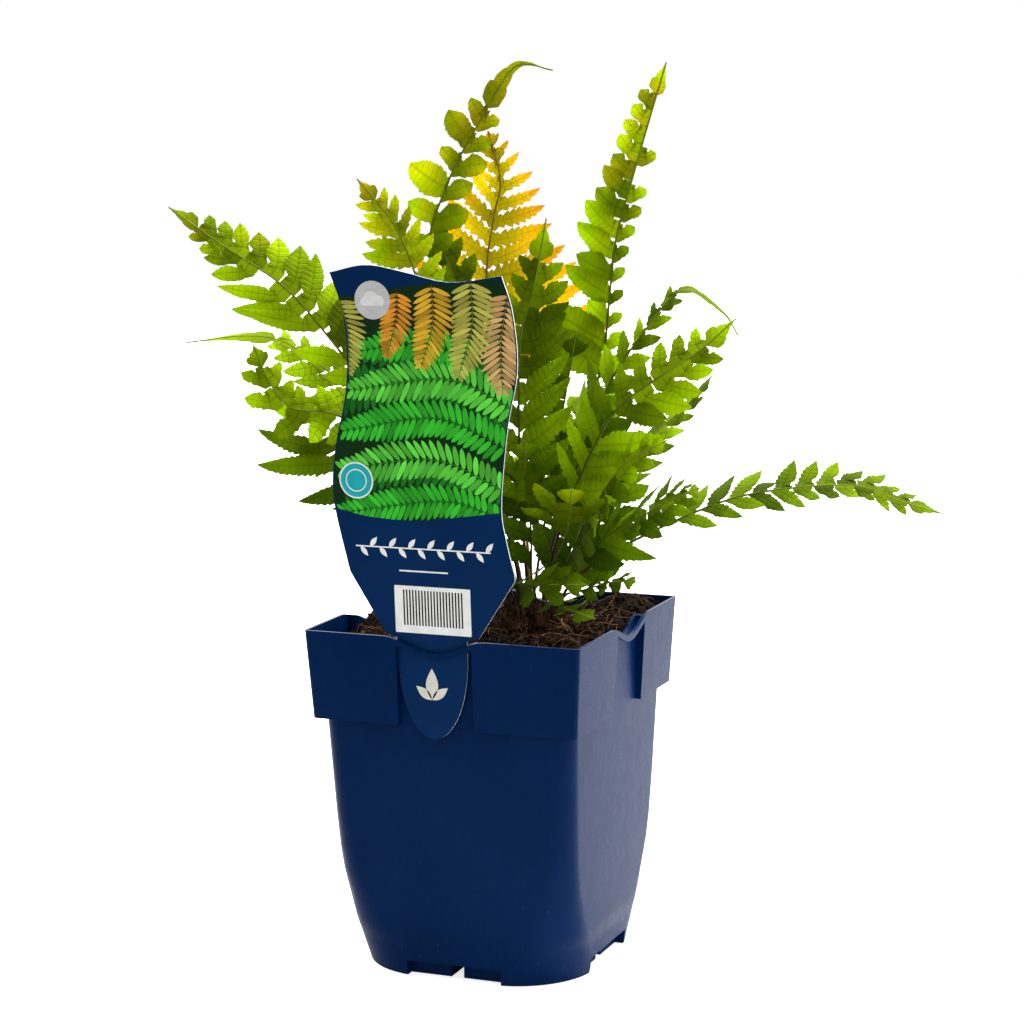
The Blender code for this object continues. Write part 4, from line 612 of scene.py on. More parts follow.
def add_mesh(name, points, faces, finishes, uv=None, tints=None, slots=None, sharp=40.0):
    """A smooth mesh object from points in millimetres and blocks of faces, sharp from this angle on."""
    mesh = bpy.data.meshes.new(name)
    corners = np.concatenate([block.ravel() for block in faces]).astype(np.int32)
    totals = np.concatenate([np.full(len(block), block.shape[1]) for block in faces])
    mesh.vertices.add(len(points))
    mesh.vertices.foreach_set("co", (np.asarray(points, float) * MM).astype(np.float32).ravel())
    mesh.loops.add(len(corners))
    mesh.loops.foreach_set("vertex_index", corners)
    mesh.polygons.add(len(totals))
    mesh.polygons.foreach_set("loop_start", np.concatenate(([0], np.cumsum(totals)[:-1])).astype(np.int32))
    if slots is not None:
        mesh.polygons.foreach_set("material_index", np.asarray(slots, np.int32))
    mesh.update(calc_edges=True)
    mesh.shade_smooth()
    if uv is not None:
        mesh.uv_layers.new(name="UVMap").data.foreach_set("uv", uv[corners].astype(np.float32).ravel())
    if tints is not None:
        layer = mesh.color_attributes.new("tint", "FLOAT_COLOR", "POINT")
        layer.data.foreach_set("color", np.asarray(tints, np.float32).ravel())
    mesh.set_sharp_from_angle(angle=math.radians(sharp))
    for finish in finishes:
        mesh.materials.append(finish)
    piece = bpy.data.objects.new(name, mesh)
    bpy.context.scene.collection.objects.link(piece)
    return piece


def dress(piece, slot, *nodes):
    """Let the piece ride on the object's body, in place of these nodes; its slot is not used."""
    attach(piece, BODY)
    if nodes:
        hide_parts(*nodes)
    return piece


def grid_quads(rows, columns, closed=False):
    """Faces of a grid, each turning from its row's way to its column's; closed joins the last column."""
    row = np.arange(rows - 1)[:, None]
    column = np.arange(columns if closed else columns - 1)[None, :]
    after = (column + 1) % columns
    here = row * columns
    quads = (here + column, here + columns + column, here + columns + after, here + after)
    return np.stack([np.broadcast_to(corner, (rows - 1, column.size)) for corner in quads], -1).reshape(-1, 4)


def shell(middle, normals, halves):
    """A closed thin shell: the grid moved both ways along its normals by the halves, and a wall round it."""
    rows, columns = middle.shape[:2]
    count = rows * columns
    points = np.concatenate((middle + normals * halves[..., None], middle - normals * halves[..., None]))
    top = grid_quads(rows, columns)
    index = np.arange(count).reshape(rows, columns)
    rim = np.concatenate((index[:-1, 0], index[-1, :-1], index[:0:-1, -1], index[0, :0:-1]))
    after = np.roll(rim, -1)
    wall = np.stack((after, rim, rim + count, after + count), -1)
    return points.reshape(-1, 3), [top, top[:, ::-1] + count, wall]


def tube(path, ups, halves, depths, sides):
    """A closed tube: an ellipse round every point of the path, half as wide and as deep as given there."""
    direction = unit(np.gradient(path, axis=0))
    ups = unit(ups - direction * np.sum(ups * direction, -1, keepdims=True))
    across = np.cross(direction, ups)
    turn = turns(sides)[None, :, None]
    rings = (path[:, None] + across[:, None] * np.asarray(halves)[:, None, None] * np.cos(turn)
             + ups[:, None] * np.asarray(depths)[:, None, None] * np.sin(turn))
    start = np.arange(sides)[None, :]
    end = start[:, ::-1] + (len(path) - 1) * sides
    return rings.reshape(-1, 3), [grid_quads(len(path), sides, closed=True), np.concatenate((start, end))]


def slivers(starts, ways, acrosses, lengths, widths, depths):
    """Slender closed scales: six points each, from the root over the widest part to the tip."""
    normals = np.cross(ways, acrosses)
    lengths, widths, depths = (np.asarray(size)[:, None] for size in (lengths, widths, depths))
    belly = starts + ways * lengths * SCALE_BELLY
    corners = (starts, belly + acrosses * widths / 2, belly + normals * depths / 2,
               belly - acrosses * widths / 2, belly - normals * depths / 2, starts + ways * lengths)
    points = np.stack(corners, 1).reshape(-1, 3)
    pattern = np.array([(0, 2, 1), (0, 3, 2), (0, 4, 3), (0, 1, 4),
                        (5, 1, 2), (5, 2, 3), (5, 3, 4), (5, 4, 1)])
    faces = pattern[None] + SCALE_POINTS * np.arange(len(starts))[:, None, None]
    return points, [faces.reshape(-1, 3)]


def greys(rng, count, each):
    """Tints in random greys, one for each of this many small things, at each of its points."""
    grey = np.repeat(rng.uniform(0, 1, count), each)
    return np.stack((grey, grey, grey, np.ones(len(grey))), -1)


def crumbs(centres, sizes, seed):
    """Lumpy twenty-sided grains: an icosahedron each, every corner pushed in or out at random."""
    golden = (1 + math.sqrt(5)) / 2
    corners = np.array([(-1, golden, 0), (1, golden, 0), (-1, -golden, 0), (1, -golden, 0), (0, -1, golden),
                        (0, 1, golden), (0, -1, -golden), (0, 1, -golden), (golden, 0, -1), (golden, 0, 1),
                        (-golden, 0, -1), (-golden, 0, 1)], float)
    triangles = np.array([(0, 11, 5), (0, 5, 1), (0, 1, 7), (0, 7, 10), (0, 10, 11), (1, 5, 9), (5, 11, 4),
                          (11, 10, 2), (10, 7, 6), (7, 1, 8), (3, 9, 4), (3, 4, 2), (3, 2, 6), (3, 6, 8),
                          (3, 8, 9), (4, 9, 5), (2, 4, 11), (6, 2, 10), (8, 6, 7), (9, 8, 1)])
    rng = np.random.default_rng(seed)
    pushed = unit(corners)[None] * rng.uniform(*CRUMB_LUMPS, (len(centres), CRUMB_POINTS, 1))
    stretched = pushed * rng.uniform(*CRUMB_STRETCH, (len(centres), 1, 3))
    stretched = stretched * np.asarray(sizes)[:, None, None]
    faces = (triangles[None] + CRUMB_POINTS * np.arange(len(centres))[:, None, None]).reshape(-1, 3)
    return (centres[:, None] + stretched).reshape(-1, 3), [faces]


# -------- fronds


class Pinna:
    """One pinna's axis, which leaves the rachis and bends, and its width along that axis."""

    def __init__(self, start, axis, normal, side, length, width, blunt):
        self.start, self.axis, self.normal, self.side = start, axis, normal, side
        self.length, self.width, self.blunt = length, width, blunt
        self.spread, self.lift, self.forward, self.notch = 2.0, 0.0, np.zeros(3), USUAL["notch"]

    def frame(self, along):
        """Points, directions, upper sides and ways to the frond's tip, at these parts a of the length.

        The point is start + length (axis a + bend a^2); the bend goes up the normal and along the rachis.
        """
        along = np.asarray(along, float)[..., None]
        bend = self.normal * self.lift + self.forward
        point = self.start + self.length * (self.axis * along + bend * along**2)
        direction = unit(self.axis + 2 * bend * along)
        normal = unit(self.normal - direction * (direction @ self.normal)[..., None])
        return point, direction, normal, self.side * np.cross(normal, direction)

    def envelope(self, along, fuller=1.0):
        """Half widths towards the stipe and towards the frond's tip: a superellipse that starts narrower."""
        along = np.asarray(along, float)
        half = self.width * np.minimum(1.0, BASE_PART + BASE_GROWTH * along)
        half = half * np.maximum(0.0, 1 - along ** (self.blunt * fuller)) ** TAPER
        return half, np.minimum(half, BASE_HALF + self.spread * along * self.length)

    def coarse(self):
        """Points of the solid's upper face: its coarse lobes' valleys and its tip."""
        lobes = min(MOST_LOBES, int(self.length / LOBE_PITCH))
        if lobes:
            along, part = np.arange(1, lobes + 1) / (lobes + 0.5), 1 - self.notch
        else:
            along, part = np.array([0.4] if self.length < 6.0 else [0.3, 0.72]), 1.0
        along = np.append(along, 1.0)
        point, _, normal, tipward = self.frame(along)
        low, high = self.envelope(along)
        low, high, top = (low * part)[:, None], (high * part)[:, None], point + normal * BLADE_HALF
        return np.vstack((top - tipward * low, top + tipward * high))


class Frond:
    """A stipe and rachis along a smooth route, with pinnae in pairs, laid out as its solid is."""

    def __init__(self, name, plan):
        self.name, self.plan = name, {**USUAL, **plan}
        (root_x, root_y), *free = plan["route"]
        root = (root_x, root_y, ROOT_HEIGHT)
        neck = (root_x, root_y, ROOT_HEIGHT + SOCKET_DEPTH)
        self.curve = np.vstack((root, spline((neck, *free), 16, (root_x, root_y, neck[2] - 20.0))))
        steps = np.linalg.norm(np.diff(self.curve, axis=0), axis=1)
        self.reached = np.concatenate(([0.0], np.cumsum(steps)))
        self.length = self.reached[-1]
        self.bare = plan["bare"] * self.length

    def at(self, along):
        """Points on the route, this far along in millimetres."""
        return np.stack([np.interp(along, self.reached, self.curve[:, axis]) for axis in range(3)], -1)

    def frame(self, along):
        """Points, directions, upper sides and right-hand sides, this far along."""
        along = np.asarray(along, float)
        ahead = self.at(np.minimum(along + DIRECTION_REACH, self.length))
        direction = unit(ahead - self.at(np.maximum(along - DIRECTION_REACH, 0.0)))
        free = (np.maximum(0.0, along - SOCKET_DEPTH) / (self.length - SOCKET_DEPTH))[..., None]
        face = blend(*self.plan["face"], free)
        normal = unit(face - direction * np.sum(face * direction, -1, keepdims=True))
        return self.at(along), direction, normal, np.cross(direction, normal)

    def stem_size(self, along):
        """Half widths and half depths of the stem: both thin out towards the tip."""
        part = ((np.asarray(along, float) / self.length) ** STEM_THINNING)[..., None]
        sizes = blend(STEM_ROOT, STEM_TIP, part) * min(1.0, STEM_LEAST + self.length / STEM_GROWN)
        return sizes[..., 0], sizes[..., 1]

    def pinna_length(self, side, part):
        """The length of the pinnae on this side, at this part of the blade."""
        lengths = self.plan["right" if side > 0 else "left"]
        return np.interp(part, np.linspace(0, 1, len(lengths)), lengths)

    def winged(self, along):
        """0 where the rachis is plain, 1 where the blade has fully grown together along it."""
        part = max(0.0, (along - self.bare) / (self.length - self.bare))
        return min(1.0, max(0.0, (part - WING_START) * WING_GROWTH)), part

    def half_width(self, along, side):
        """How far the stem and its wing reach to one side."""
        wing, part = self.winged(along)
        wing *= self.plan["wing"]
        return float(self.stem_size(along)[0]) + wing * float(self.pinna_length(side, part))

    def nodes(self):
        """Where pairs of pinnae grow, the blade's part reached, and the gap to the next pair."""
        part = (np.arange(self.plan["pairs"]) + NODE_START) / self.plan["pairs"]
        spaced = part * (1 + NODE_CROWDING - NODE_CROWDING * part)
        at = self.bare + (self.length - self.bare) * spaced
        return at, part, np.diff(np.append(at, self.length))

    def grow(self, at, part, gap, side):
        """The pinna that this pair has on one side, before it is bent clear of its neighbours."""
        point, direction, normal, across = self.frame(at + (STAGGER * gap if side < 0 else 0.0))
        reach = self.half_width(at, side)
        full = float(self.pinna_length(side, part))
        length = full - WING_TAKEN * (reach - float(self.stem_size(at)[0]))
        sweep = math.radians(float(blend(*self.plan["sweeps"][side > 0], part)))
        axis = across * side * math.sin(sweep) + direction * math.cos(sweep)
        between = gap * math.sin(sweep)
        width = min(float(blend(*self.plan["breadth"], part)) * full / 2, CROWDING * between)
        twist = LOUVRE / max(between, LOUVRE_LEAST) if 2 * width > OVERLAP * between else FREE_TWIST
        tilted = unit(normal - twist * (direction - axis * (direction @ axis)))
        start = point + across * side * reach
        upper = unit(tilted - axis * (tilted @ axis))
        pinna = Pinna(start, axis, upper, side, length, width, self.plan["blunt"])
        pinna.spread = SPREAD * math.tan(min(sweep, SPREAD_MOST))
        pinna.lift = -self.plan["droop"]
        pinna.forward = direction * FORWARD_BEND
        pinna.notch = self.plan["notch"]
        return pinna

    def pinnae(self, solid):
        """Every pinna of the frond's solid: of the ways to bend it, the one whose corners the solid has."""
        corners = solid.data.vertices
        tree = KDTree(len(corners))
        for index, corner in enumerate(corners):
            tree.insert(corner.co / MM, index)
        tree.balance()
        for at, part, gap in zip(*self.nodes()):
            for side in (1, -1):
                pinna = self.grow(at, part, gap, side)
                axis, length, width, lift = pinna.axis, pinna.length, pinna.width, pinna.lift
                sideways = np.cross(pinna.normal, axis)
                for raised, swing, kept, slimmed in BENDS:
                    turn = math.radians(swing)
                    pinna.axis = unit(axis * math.cos(turn) + sideways * math.sin(turn))
                    pinna.length, pinna.width, pinna.lift = length * kept, width * slimmed, lift + raised
                    if max(tree.find(point)[2] for point in pinna.coarse()) < SAME_PLACE:
                        pinna.width = width * slimmed**SLIMMING
                        yield at, part, gap, pinna
                        break

    def stem(self):
        """The stem's tube, with its points, faces and tints."""
        along = np.linspace(0.5, self.length, max(12, int(self.length / STEM_STEP)))
        point, _, normal, _ = self.frame(along)
        half, depth = self.stem_size(along)
        points, faces = tube(point, normal, half * STEM_SLIM, depth * STEM_SLIM, STEM_SIDES)
        part = np.repeat(along / self.length, STEM_SIDES)
        tone = np.full(len(part), self.plan["tone"])
        return points, faces, np.stack((tone, part, np.zeros(len(part)), np.ones(len(part))), -1)

    def blade(self, at, part, gap, pinna, rng):
        """One pinna's leaf: its lobes or teeth, dome and groove, with a base that runs into the rachis.

        Rows run along the pinna and columns from its stipe side to its tip side. A row's half width is the
        envelope, less the notch between two teeth; columns lean forward towards their tooth's tip.
        """
        depth = min(1.0, pinna.notch / DEEP_CUT)
        lobes = max(1, round(pinna.length / float(blend(*LOBE_PITCH_FINE, depth))))
        rows = np.add.outer(np.arange(lobes), LOBE_ROWS).ravel()
        phase = np.concatenate((rows, lobes + 0.5 * TIP_ROWS))[1:]
        along = np.minimum(phase / (lobes + 0.5), LEAF_END)
        across = np.array(COLUMNS)[::int(pinna.side)]
        inside = phase - np.floor(phase)
        swell = saw(inside)
        cut = pinna.notch * (CUT_AT_BASE - 0.5 * along) * min(1.0, lobes / 3)
        sizes = rng.uniform(*LOBE_SIZES, (lobes + 1, 2))[np.floor(phase).astype(int)]
        wing, _ = self.winged(at)
        flare = self.base_half(at, gap, pinna) * (1 - smoothstep(along / float(blend(*FLARE, wing))))
        low, high = pinna.envelope(along, FULLER)
        low, high = np.maximum(low, flare), np.maximum(high * (1 - POINTED * along**3), flare)
        side_half = np.where(across[None] < 0, (low * sizes[:, 0])[:, None], (high * sizes[:, 1])[:, None])
        side_half = np.maximum(side_half * (1 - cut * (1 - swell))[:, None], LEAST_HALF)
        teeth = 1 + (np.abs(across) == 1) * rng.uniform(-UNEVEN, UNEVEN, (len(along), len(across)))
        width = across[None] * side_half * teeth
        lean = LOBE_LEAN * np.abs(across)[None] * side_half
        lean = lean * (smoothstep(along / FLARE[0]) * (1 - along**2))[:, None]
        wave = WAVE_HEIGHT * np.sin(2 * math.pi * (WAVES * along + rng.uniform()))[:, None] * across[None]
        bulge = DOME * depth
        dome = side_half * (bulge * (swell[:, None] - 0.4) - CUP) * across[None] ** 2
        dome = dome - COSTA_DEPTH * (across == 0)
        lift = dome + wave * np.minimum(1, side_half / 3)
        rolled = (bulge * (inside - 0.5) * 2.0)[:, None, None] * (across**2)[None, :, None]
        middle, facing = leaf_rows(pinna.frame(along), across, width, lean, lift, rolled)
        base, base_facing = self.base(at, gap, pinna, across)
        middle, facing = np.concatenate((base, middle)), np.concatenate((base_facing, facing))
        phase, along = np.concatenate(((-0.4, -0.2), phase)), np.concatenate(((0.0, 0.0), along))
        return self.leaf(middle, facing, phase, across, along, (self.plan["tone"], part, rng.uniform()))

    def leaf(self, middle, facing, phase, across, along, tint):
        """A thin shell over the rows, with its map and tints; the last tint is how far along a row lies."""
        halves = np.full(middle.shape[:2], LEAF_HALF) * np.where(np.abs(across) == 1, LEAF_RIM, 1.0)
        points, faces = shell(middle, facing, halves)
        uv = np.stack(np.broadcast_arrays(phase[:, None], across[None]), -1).reshape(-1, 2)
        tints = np.broadcast_to((*tint, 0.0), (len(uv), 4)).copy()
        tints[:, 3] = np.repeat(along, len(across))
        return points, faces, np.vstack((uv, uv)), np.vstack((tints, tints))

    def base_half(self, at, gap, pinna):
        """Half the width of a pinna's base across its axis: wider the more the rachis is winged here."""
        wing, _ = self.winged(at)
        _, direction, _, _ = self.frame(at)
        between = gap * float(np.linalg.norm(np.cross(direction, pinna.axis)))
        return min(float(blend(*BASE_WIDTH, wing)) * between, blend(1.05, 2.0, wing) * pinna.width)

    def base(self, at, gap, pinna, across):
        """Two rows where the pinna meets the rachis: a stalk low on the frond, a full wing near its tip."""
        point, direction, normal, right = self.frame(at + (STAGGER * gap if pinna.side < 0 else 0.0))
        reach = self.half_width(at, pinna.side)
        slant = max(0.5, float(np.linalg.norm(np.cross(direction, pinna.axis))))
        half = self.base_half(at, gap, pinna) / slant
        out = np.array((0.2 * float(self.stem_size(at)[0]), 0.97 * reach))[:, None]
        rows = (point + right * pinna.side * out)[:, None] + direction * (half * across)[None, :, None]
        return rows, np.broadcast_to(normal, rows.shape)

    def blade_part(self, along):
        """The blade's part p at a place on the rachis: pairs stand at p (1 + c - c p) of it."""
        reached = np.clip((along - self.bare) / (self.length - self.bare), 0.0, 1.0)
        first = 1 + NODE_CROWDING
        return (first - np.sqrt(first**2 - 4 * NODE_CROWDING * reached)) / (2 * NODE_CROWDING)

    def reach(self, along, side):
        """How far the blade stands out from the rachis on one side: its wing and its pinnae."""
        part = self.blade_part(along)
        sweep = np.radians(blend(*self.plan["sweeps"][side > 0], part))
        return self.stem_size(along)[0] + self.pinna_length(side, part) * np.sin(sweep)

    def crest_start(self):
        """Where the crest takes over from single pinnae, and the way from one of its teeth to the next."""
        at, part, gap = self.nodes()
        merged = (np.maximum(self.reach(at, 1), self.reach(at, -1)) < CREST_REACH) & (part > CREST_FROM)
        first = int(np.argmax(merged)) if merged.any() else len(at) - 1
        return float(at[first] - 0.5 * gap[first]), float(gap[first])

    def crest(self, start, gap, rng):
        """The frond's end, where its pinnae have grown together: a pointed, saw-toothed leaf on the rachis.

        Its half width is the blade's reach, times 1 - u^1.7 along the crest's length.
        """
        teeth = max(3, round((self.length - start) / (0.8 * gap)))
        phase = np.concatenate((np.add.outer(np.arange(teeth), CREST_ROWS).ravel(), [teeth - 0.01]))
        part = (phase / teeth) ** 0.9
        along = start + (self.length - start) * part
        across = np.array(COLUMNS)
        inside = phase - np.floor(phase)
        cut = max(CREST_CUT, 1.2 * self.plan["notch"]) * (1 - 0.5 * part)
        closing = np.maximum(0.0, 1 - part**CREST_CLOSING)
        sides = np.where(across[None] < 0, self.reach(along, -1)[:, None], self.reach(along, 1)[:, None])
        sides = np.minimum(sides, 1.15 * CREST_REACH)
        half = sides * (closing * (1 - cut * (1 - saw(inside))))[:, None]
        half = half * rng.uniform(*LOBE_SIZES, sides.shape)
        lean = CREST_LEAN * np.abs(across)[None] * half * (1 - part**3)[:, None]
        dome = -CUP * half * across[None] ** 2
        middle, facing = leaf_rows(self.frame(along), across, across[None] * half, lean, dome, 0.0)
        return self.leaf(middle, facing, phase, across, part, (self.plan["tone"], 1.0, rng.uniform()))


def leaf_rows(frames, across, width, lean, lift, rolled):
    """Rows of points and upper sides: out to either side, on towards the tip, up, cupped and rolled."""
    point, direction, normal, aside = (way[:, None] for way in frames)
    middle = point + aside * width[..., None] + direction * lean[..., None] + normal * lift[..., None]
    return middle, unit(normal + aside * (2 * CUP * across)[None, :, None] + direction * rolled)


def saw(inside):
    """A tooth's height along it: it rises to its peak as a power of 0.7, and drops as one of 0.6."""
    rise = np.clip(inside / TOOTH_PEAK, 0, 1) ** 0.7
    drop = np.clip((1 - inside) / (1 - TOOTH_PEAK), 0, 1) ** 0.6
    return np.minimum(rise, drop)


def grow_frond(name, plan, seed, leaf, stipe):
    """One frond: its stem and all its leaves, as one object in place of its solid."""
    frond = Frond(name, plan)
    rng = np.random.default_rng(seed)
    pile = Pile()
    points, faces, tints = frond.stem()
    pile.add(points, faces, None, tints, 1)
    start, tooth = frond.crest_start()
    apart = [pinna for pinna in frond.pinnae(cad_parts[name]) if pinna[0] < start]
    last, _, gap, _ = apart[-1]
    leaves = [frond.blade(*pinna, rng) for pinna in apart]
    leaves.append(frond.crest(min(start, last + 0.55 * gap), tooth, rng))
    for points, faces, uv, tints in leaves:
        pile.add(points, faces, uv, tints, 0)
    return pile.make(name + "_leaf", (leaf, stipe))


# -------- pot


def square_loop(z, half, radius, steps=CORNER_STEPS):
    """A square with round corners, anticlockwise from above: four quarter circles and straight sides."""
    angle = (np.arange(4)[:, None] + np.linspace(0, 1, steps + 1)[None]) * math.pi / 2
    centre_x = (half - radius) * np.array((1, -1, -1, 1))[:, None]
    centre_y = (half - radius) * np.array((1, 1, -1, -1))[:, None]
    loop = (centre_x + radius * np.cos(angle), centre_y + radius * np.sin(angle), np.full(angle.shape, z))
    return np.stack(loop, -1).reshape(-1, 3)


def loft(loops):
    """Closed loops of equal length, bottom first and anticlockwise, joined and capped: (points, faces)."""
    rows, count = len(loops), len(loops[0])
    bottom = np.arange(count)[None, ::-1]
    top = np.arange(count)[None] + (rows - 1) * count
    quads = grid_quads(rows, count, closed=True)[:, ::-1]
    return np.concatenate(loops), [quads, np.concatenate((bottom, top))]


def collar_section(z, inset):
    """The collar's section at this height: it widens evenly to the rim."""
    part = (z - POT_HEIGHT + COLLAR_HEIGHT) / COLLAR_HEIGHT
    return z, float(blend(COLLAR_HALF_FOOT, COLLAR_HALF_RIM, part)) - inset, COLLAR_CORNER - inset


def body_sections(inset, fine=3):
    """The body's sections from foot to collar, moved inwards, with a smooth curve through them."""
    sections = spline(BODY_SECTIONS, fine)
    return [(z, half - inset, max(radius - inset, 0.6)) for z, half, radius in sections]


def around(points, faces):
    """Copies of a cutter for the four sides; the right side mirrors the front, and the back repeats both."""
    for a, b, c, d in SIDE_TURNS:
        moved = points @ np.array(((a, c, 0), (b, d, 0), (0, 0, 1)), float)
        yield moved, [block[:, ::-1] for block in faces] if a * d - b * c < 0 else faces


def prism(outline, low, high):
    """An outline of (x, z) points, anticlockwise from the front, pushed through from y = low to y = high."""
    outline = np.asarray(outline, float)
    loops = [np.insert(outline, 1, depth, axis=1) for depth in (high, low)]
    return loft(loops)


def block(x_range, y_range, z_range):
    """A cutter with flat sides between these coordinates."""
    (left, right), (low, high) = x_range, z_range
    return prism(((left, low), (right, low), (right, high), (left, high)), *y_range)


def dip_line(part):
    """How far the rim has sunk at this part of the dip, from -1 to 1 across it: half a cosine wave."""
    return DIP_DEPTH * 0.5 * (1 + np.cos(math.pi * np.clip(part, -1, 1)))


def pot_cutters():
    """What is moulded into the outside of the pot on every side."""
    left, right = SLOT_CENTRE - SLOT_HALF, SLOT_CENTRE + SLOT_HALF
    bottom = POT_HEIGHT - COLLAR_HEIGHT - CLEAR
    across = np.linspace(right, left, DIP_STEPS // 2 + 1)
    under = POT_HEIGHT - dip_line((across - SLOT_CENTRE) / DIP_HALF) - STRIP_HEIGHT
    recess = np.vstack(((left, bottom), (right, bottom), np.stack((across, under), -1)))
    part = np.linspace(-1, 1, DIP_STEPS + 1)
    dip = np.stack((SLOT_CENTRE + part * DIP_HALF, POT_HEIGHT - dip_line(part)), -1)
    over = POT_HEIGHT + CLEAR
    dip = np.vstack(((SLOT_CENTRE + DIP_HALF, over), (SLOT_CENTRE - DIP_HALF, over), dip))
    yield from around(*prism(recess, -BEYOND, -SLOT_BACK))
    yield from around(*block((left, right), (-SLOT_FRONT, -SLOT_BACK), (POT_HEIGHT - SLOT_DEPTH, over)))
    yield from around(*prism(dip, -BEYOND, 1.0 - SLOT_BACK + POT_WALL))
    yield from around(*block((-NOTCH_HALF, NOTCH_HALF), (-BEYOND, -NOTCH_BACK), (-CLEAR, NOTCH_HEIGHT)))
    channel = (-CHANNEL_HALF, CHANNEL_HALF)
    yield from around(*block(channel, (-NOTCH_BACK - 1.0, -PAD_RADIUS), (-CLEAR, NOTCH_HEIGHT)))


def hollow_fillers(wall):
    """Blocks that the pot's hollow leaves out, so that every moulded feature keeps a wall behind it."""
    slot, notch, channel = SLOT_HALF + wall, NOTCH_HALF + wall, CHANNEL_HALF + wall
    slot_z = (POT_HEIGHT - COLLAR_HEIGHT - PANEL_BELOW, POT_HEIGHT + PANEL_ABOVE)
    foot_z = (-CLEAR, NOTCH_HEIGHT + wall)
    yield from around(*block((SLOT_CENTRE - slot, SLOT_CENTRE + slot), (-BEYOND, wall - SLOT_BACK), slot_z))
    yield from around(*block((-notch, notch), (-BEYOND, wall - NOTCH_BACK), foot_z))
    yield from around(*block((-channel, channel), (-NOTCH_BACK, wall - PAD_RADIUS), foot_z))


def drain_holes():
    """A round hole through the roof of each channel."""
    turn = turns(DRAIN_SIDES)
    ring = np.stack((DRAIN_RADIUS * np.cos(turn), DRAIN_RADIUS * np.sin(turn), 0 * turn), -1)
    for quarter in np.arange(4) * math.pi / 2:
        centre = np.array((DRAIN_AT * math.cos(quarter), DRAIN_AT * math.sin(quarter), NOTCH_HEIGHT - 2.0))
        yield loft([ring + centre, ring + centre + (0, 0, POT_WALL + 4.0)])


def cut(target, cutter):
    """Cut one mesh object out of the other, and remove it."""
    step = target.modifiers.new("cut", "BOOLEAN")
    step.operation, step.solver, step.object = "DIFFERENCE", "EXACT", cutter
    bpy.context.view_layer.objects.active = target
    bpy.ops.object.modifier_apply(modifier=step.name)
    bpy.data.objects.remove(cutter)


def cut_all(target, parts):
    """Cut each (points, faces) in turn out of the target."""
    for points, faces in parts:
        cut(target, add_mesh("cutter", points, faces, ()))


def mould_pot(plastic, rounding):
    """The pot: its outside with a parting step near the foot, less its hollow, slots, notches and holes."""
    below = [section for section in body_sections(0.0) if section[0] < PARTING_HEIGHT - PARTING_FREE]
    above = [section for section in body_sections(0.0) if section[0] > PARTING_HEIGHT + PARTING_FREE]
    part = (PARTING_HEIGHT - below[-1][0]) / (above[0][0] - below[-1][0])
    half, radius = (float(blend(below[-1][at], above[0][at], part)) for at in (1, 2))
    step = [(PARTING_HEIGHT - PARTING_RISE, half - PARTING_STEP, radius),
            (PARTING_HEIGHT, half, radius + PARTING_STEP)]
    below = [(z, size - PARTING_STEP, corner) for z, size, corner in below]
    collar = [collar_section(POT_HEIGHT - COLLAR_HEIGHT, 0.0), collar_section(POT_HEIGHT, 0.0)]
    outside = [square_loop(*section) for section in below + step + above + collar]
    pot = add_mesh("pot_body", *loft(outside), ())
    inner = body_sections(POT_WALL)
    ledge = inner[-1][0] + POT_WALL
    sections = [(FLOOR, *inner[0][1:])] + inner[1:-1] + [(ledge, *inner[-1][1:])]
    sections += [collar_section(height, POT_WALL) for height in (ledge, POT_HEIGHT + 3.0)]
    hollow = add_mesh("hollow", *loft([square_loop(*section) for section in sections]), ())
    cut_all(hollow, hollow_fillers(POT_WALL))
    cut(pot, hollow)
    cut_all(pot, (*pot_cutters(), *drain_holes()))
    welded = bmesh.new()
    welded.from_mesh(pot.data)
    bmesh.ops.remove_doubles(welded, verts=welded.verts, dist=WELD * MM)
    bmesh.ops.connect_verts_concave(welded, faces=welded.faces)
    welded.to_mesh(pot.data)
    welded.free()
    pot.data.materials.append(plastic)
    bevel = pot.modifiers.new("soft_edges", "BEVEL")
    bevel.width, bevel.segments, bevel.limit_method = rounding, 2, "ANGLE"
    bevel.angle_limit = POT_SHARP
    bevel.harden_normals = True
    pot.data.shade_smooth()
    pot.data.set_sharp_from_angle(angle=POT_SHARP)
    return pot


# -------- peat and rhizome


def soil_height(x, y):
    """The peat's surface: its level, its mounds, a low roughness and lumps of three sizes."""
    height = SOIL_LEVEL + 0.5 * np.sin(0.31 * x + 1.0) * np.cos(0.27 * y) + 0.4 * np.sin(0.19 * x - 0.41 * y)
    for mound_x, mound_y, rise, spread in SOIL_MOUNDS:
        height = height + rise * np.exp(-((x - mound_x) ** 2 + (y - mound_y) ** 2) / (2 * spread**2))
    for cell, depth, seed in SOIL_LUMPS:
        height = height + depth * noise(x + 200.0, y + 200.0, cell, seed)
    return height


def keep_off_slots(points):
    """Pull points in from the panels behind the four slots."""
    x, y, z = points.T
    for a, b, c, d in SIDE_TURNS:
        across, out = a * x + c * y, b * x + d * y
        near = (np.abs(across - SLOT_CENTRE) < SLOT_HALF + 2.0) & (out < -SLOT_INSIDE)
        out = np.where(near, -SLOT_INSIDE, out)
        x, y = a * across + b * out, c * across + d * out
    return np.stack((x, y, z), -1)


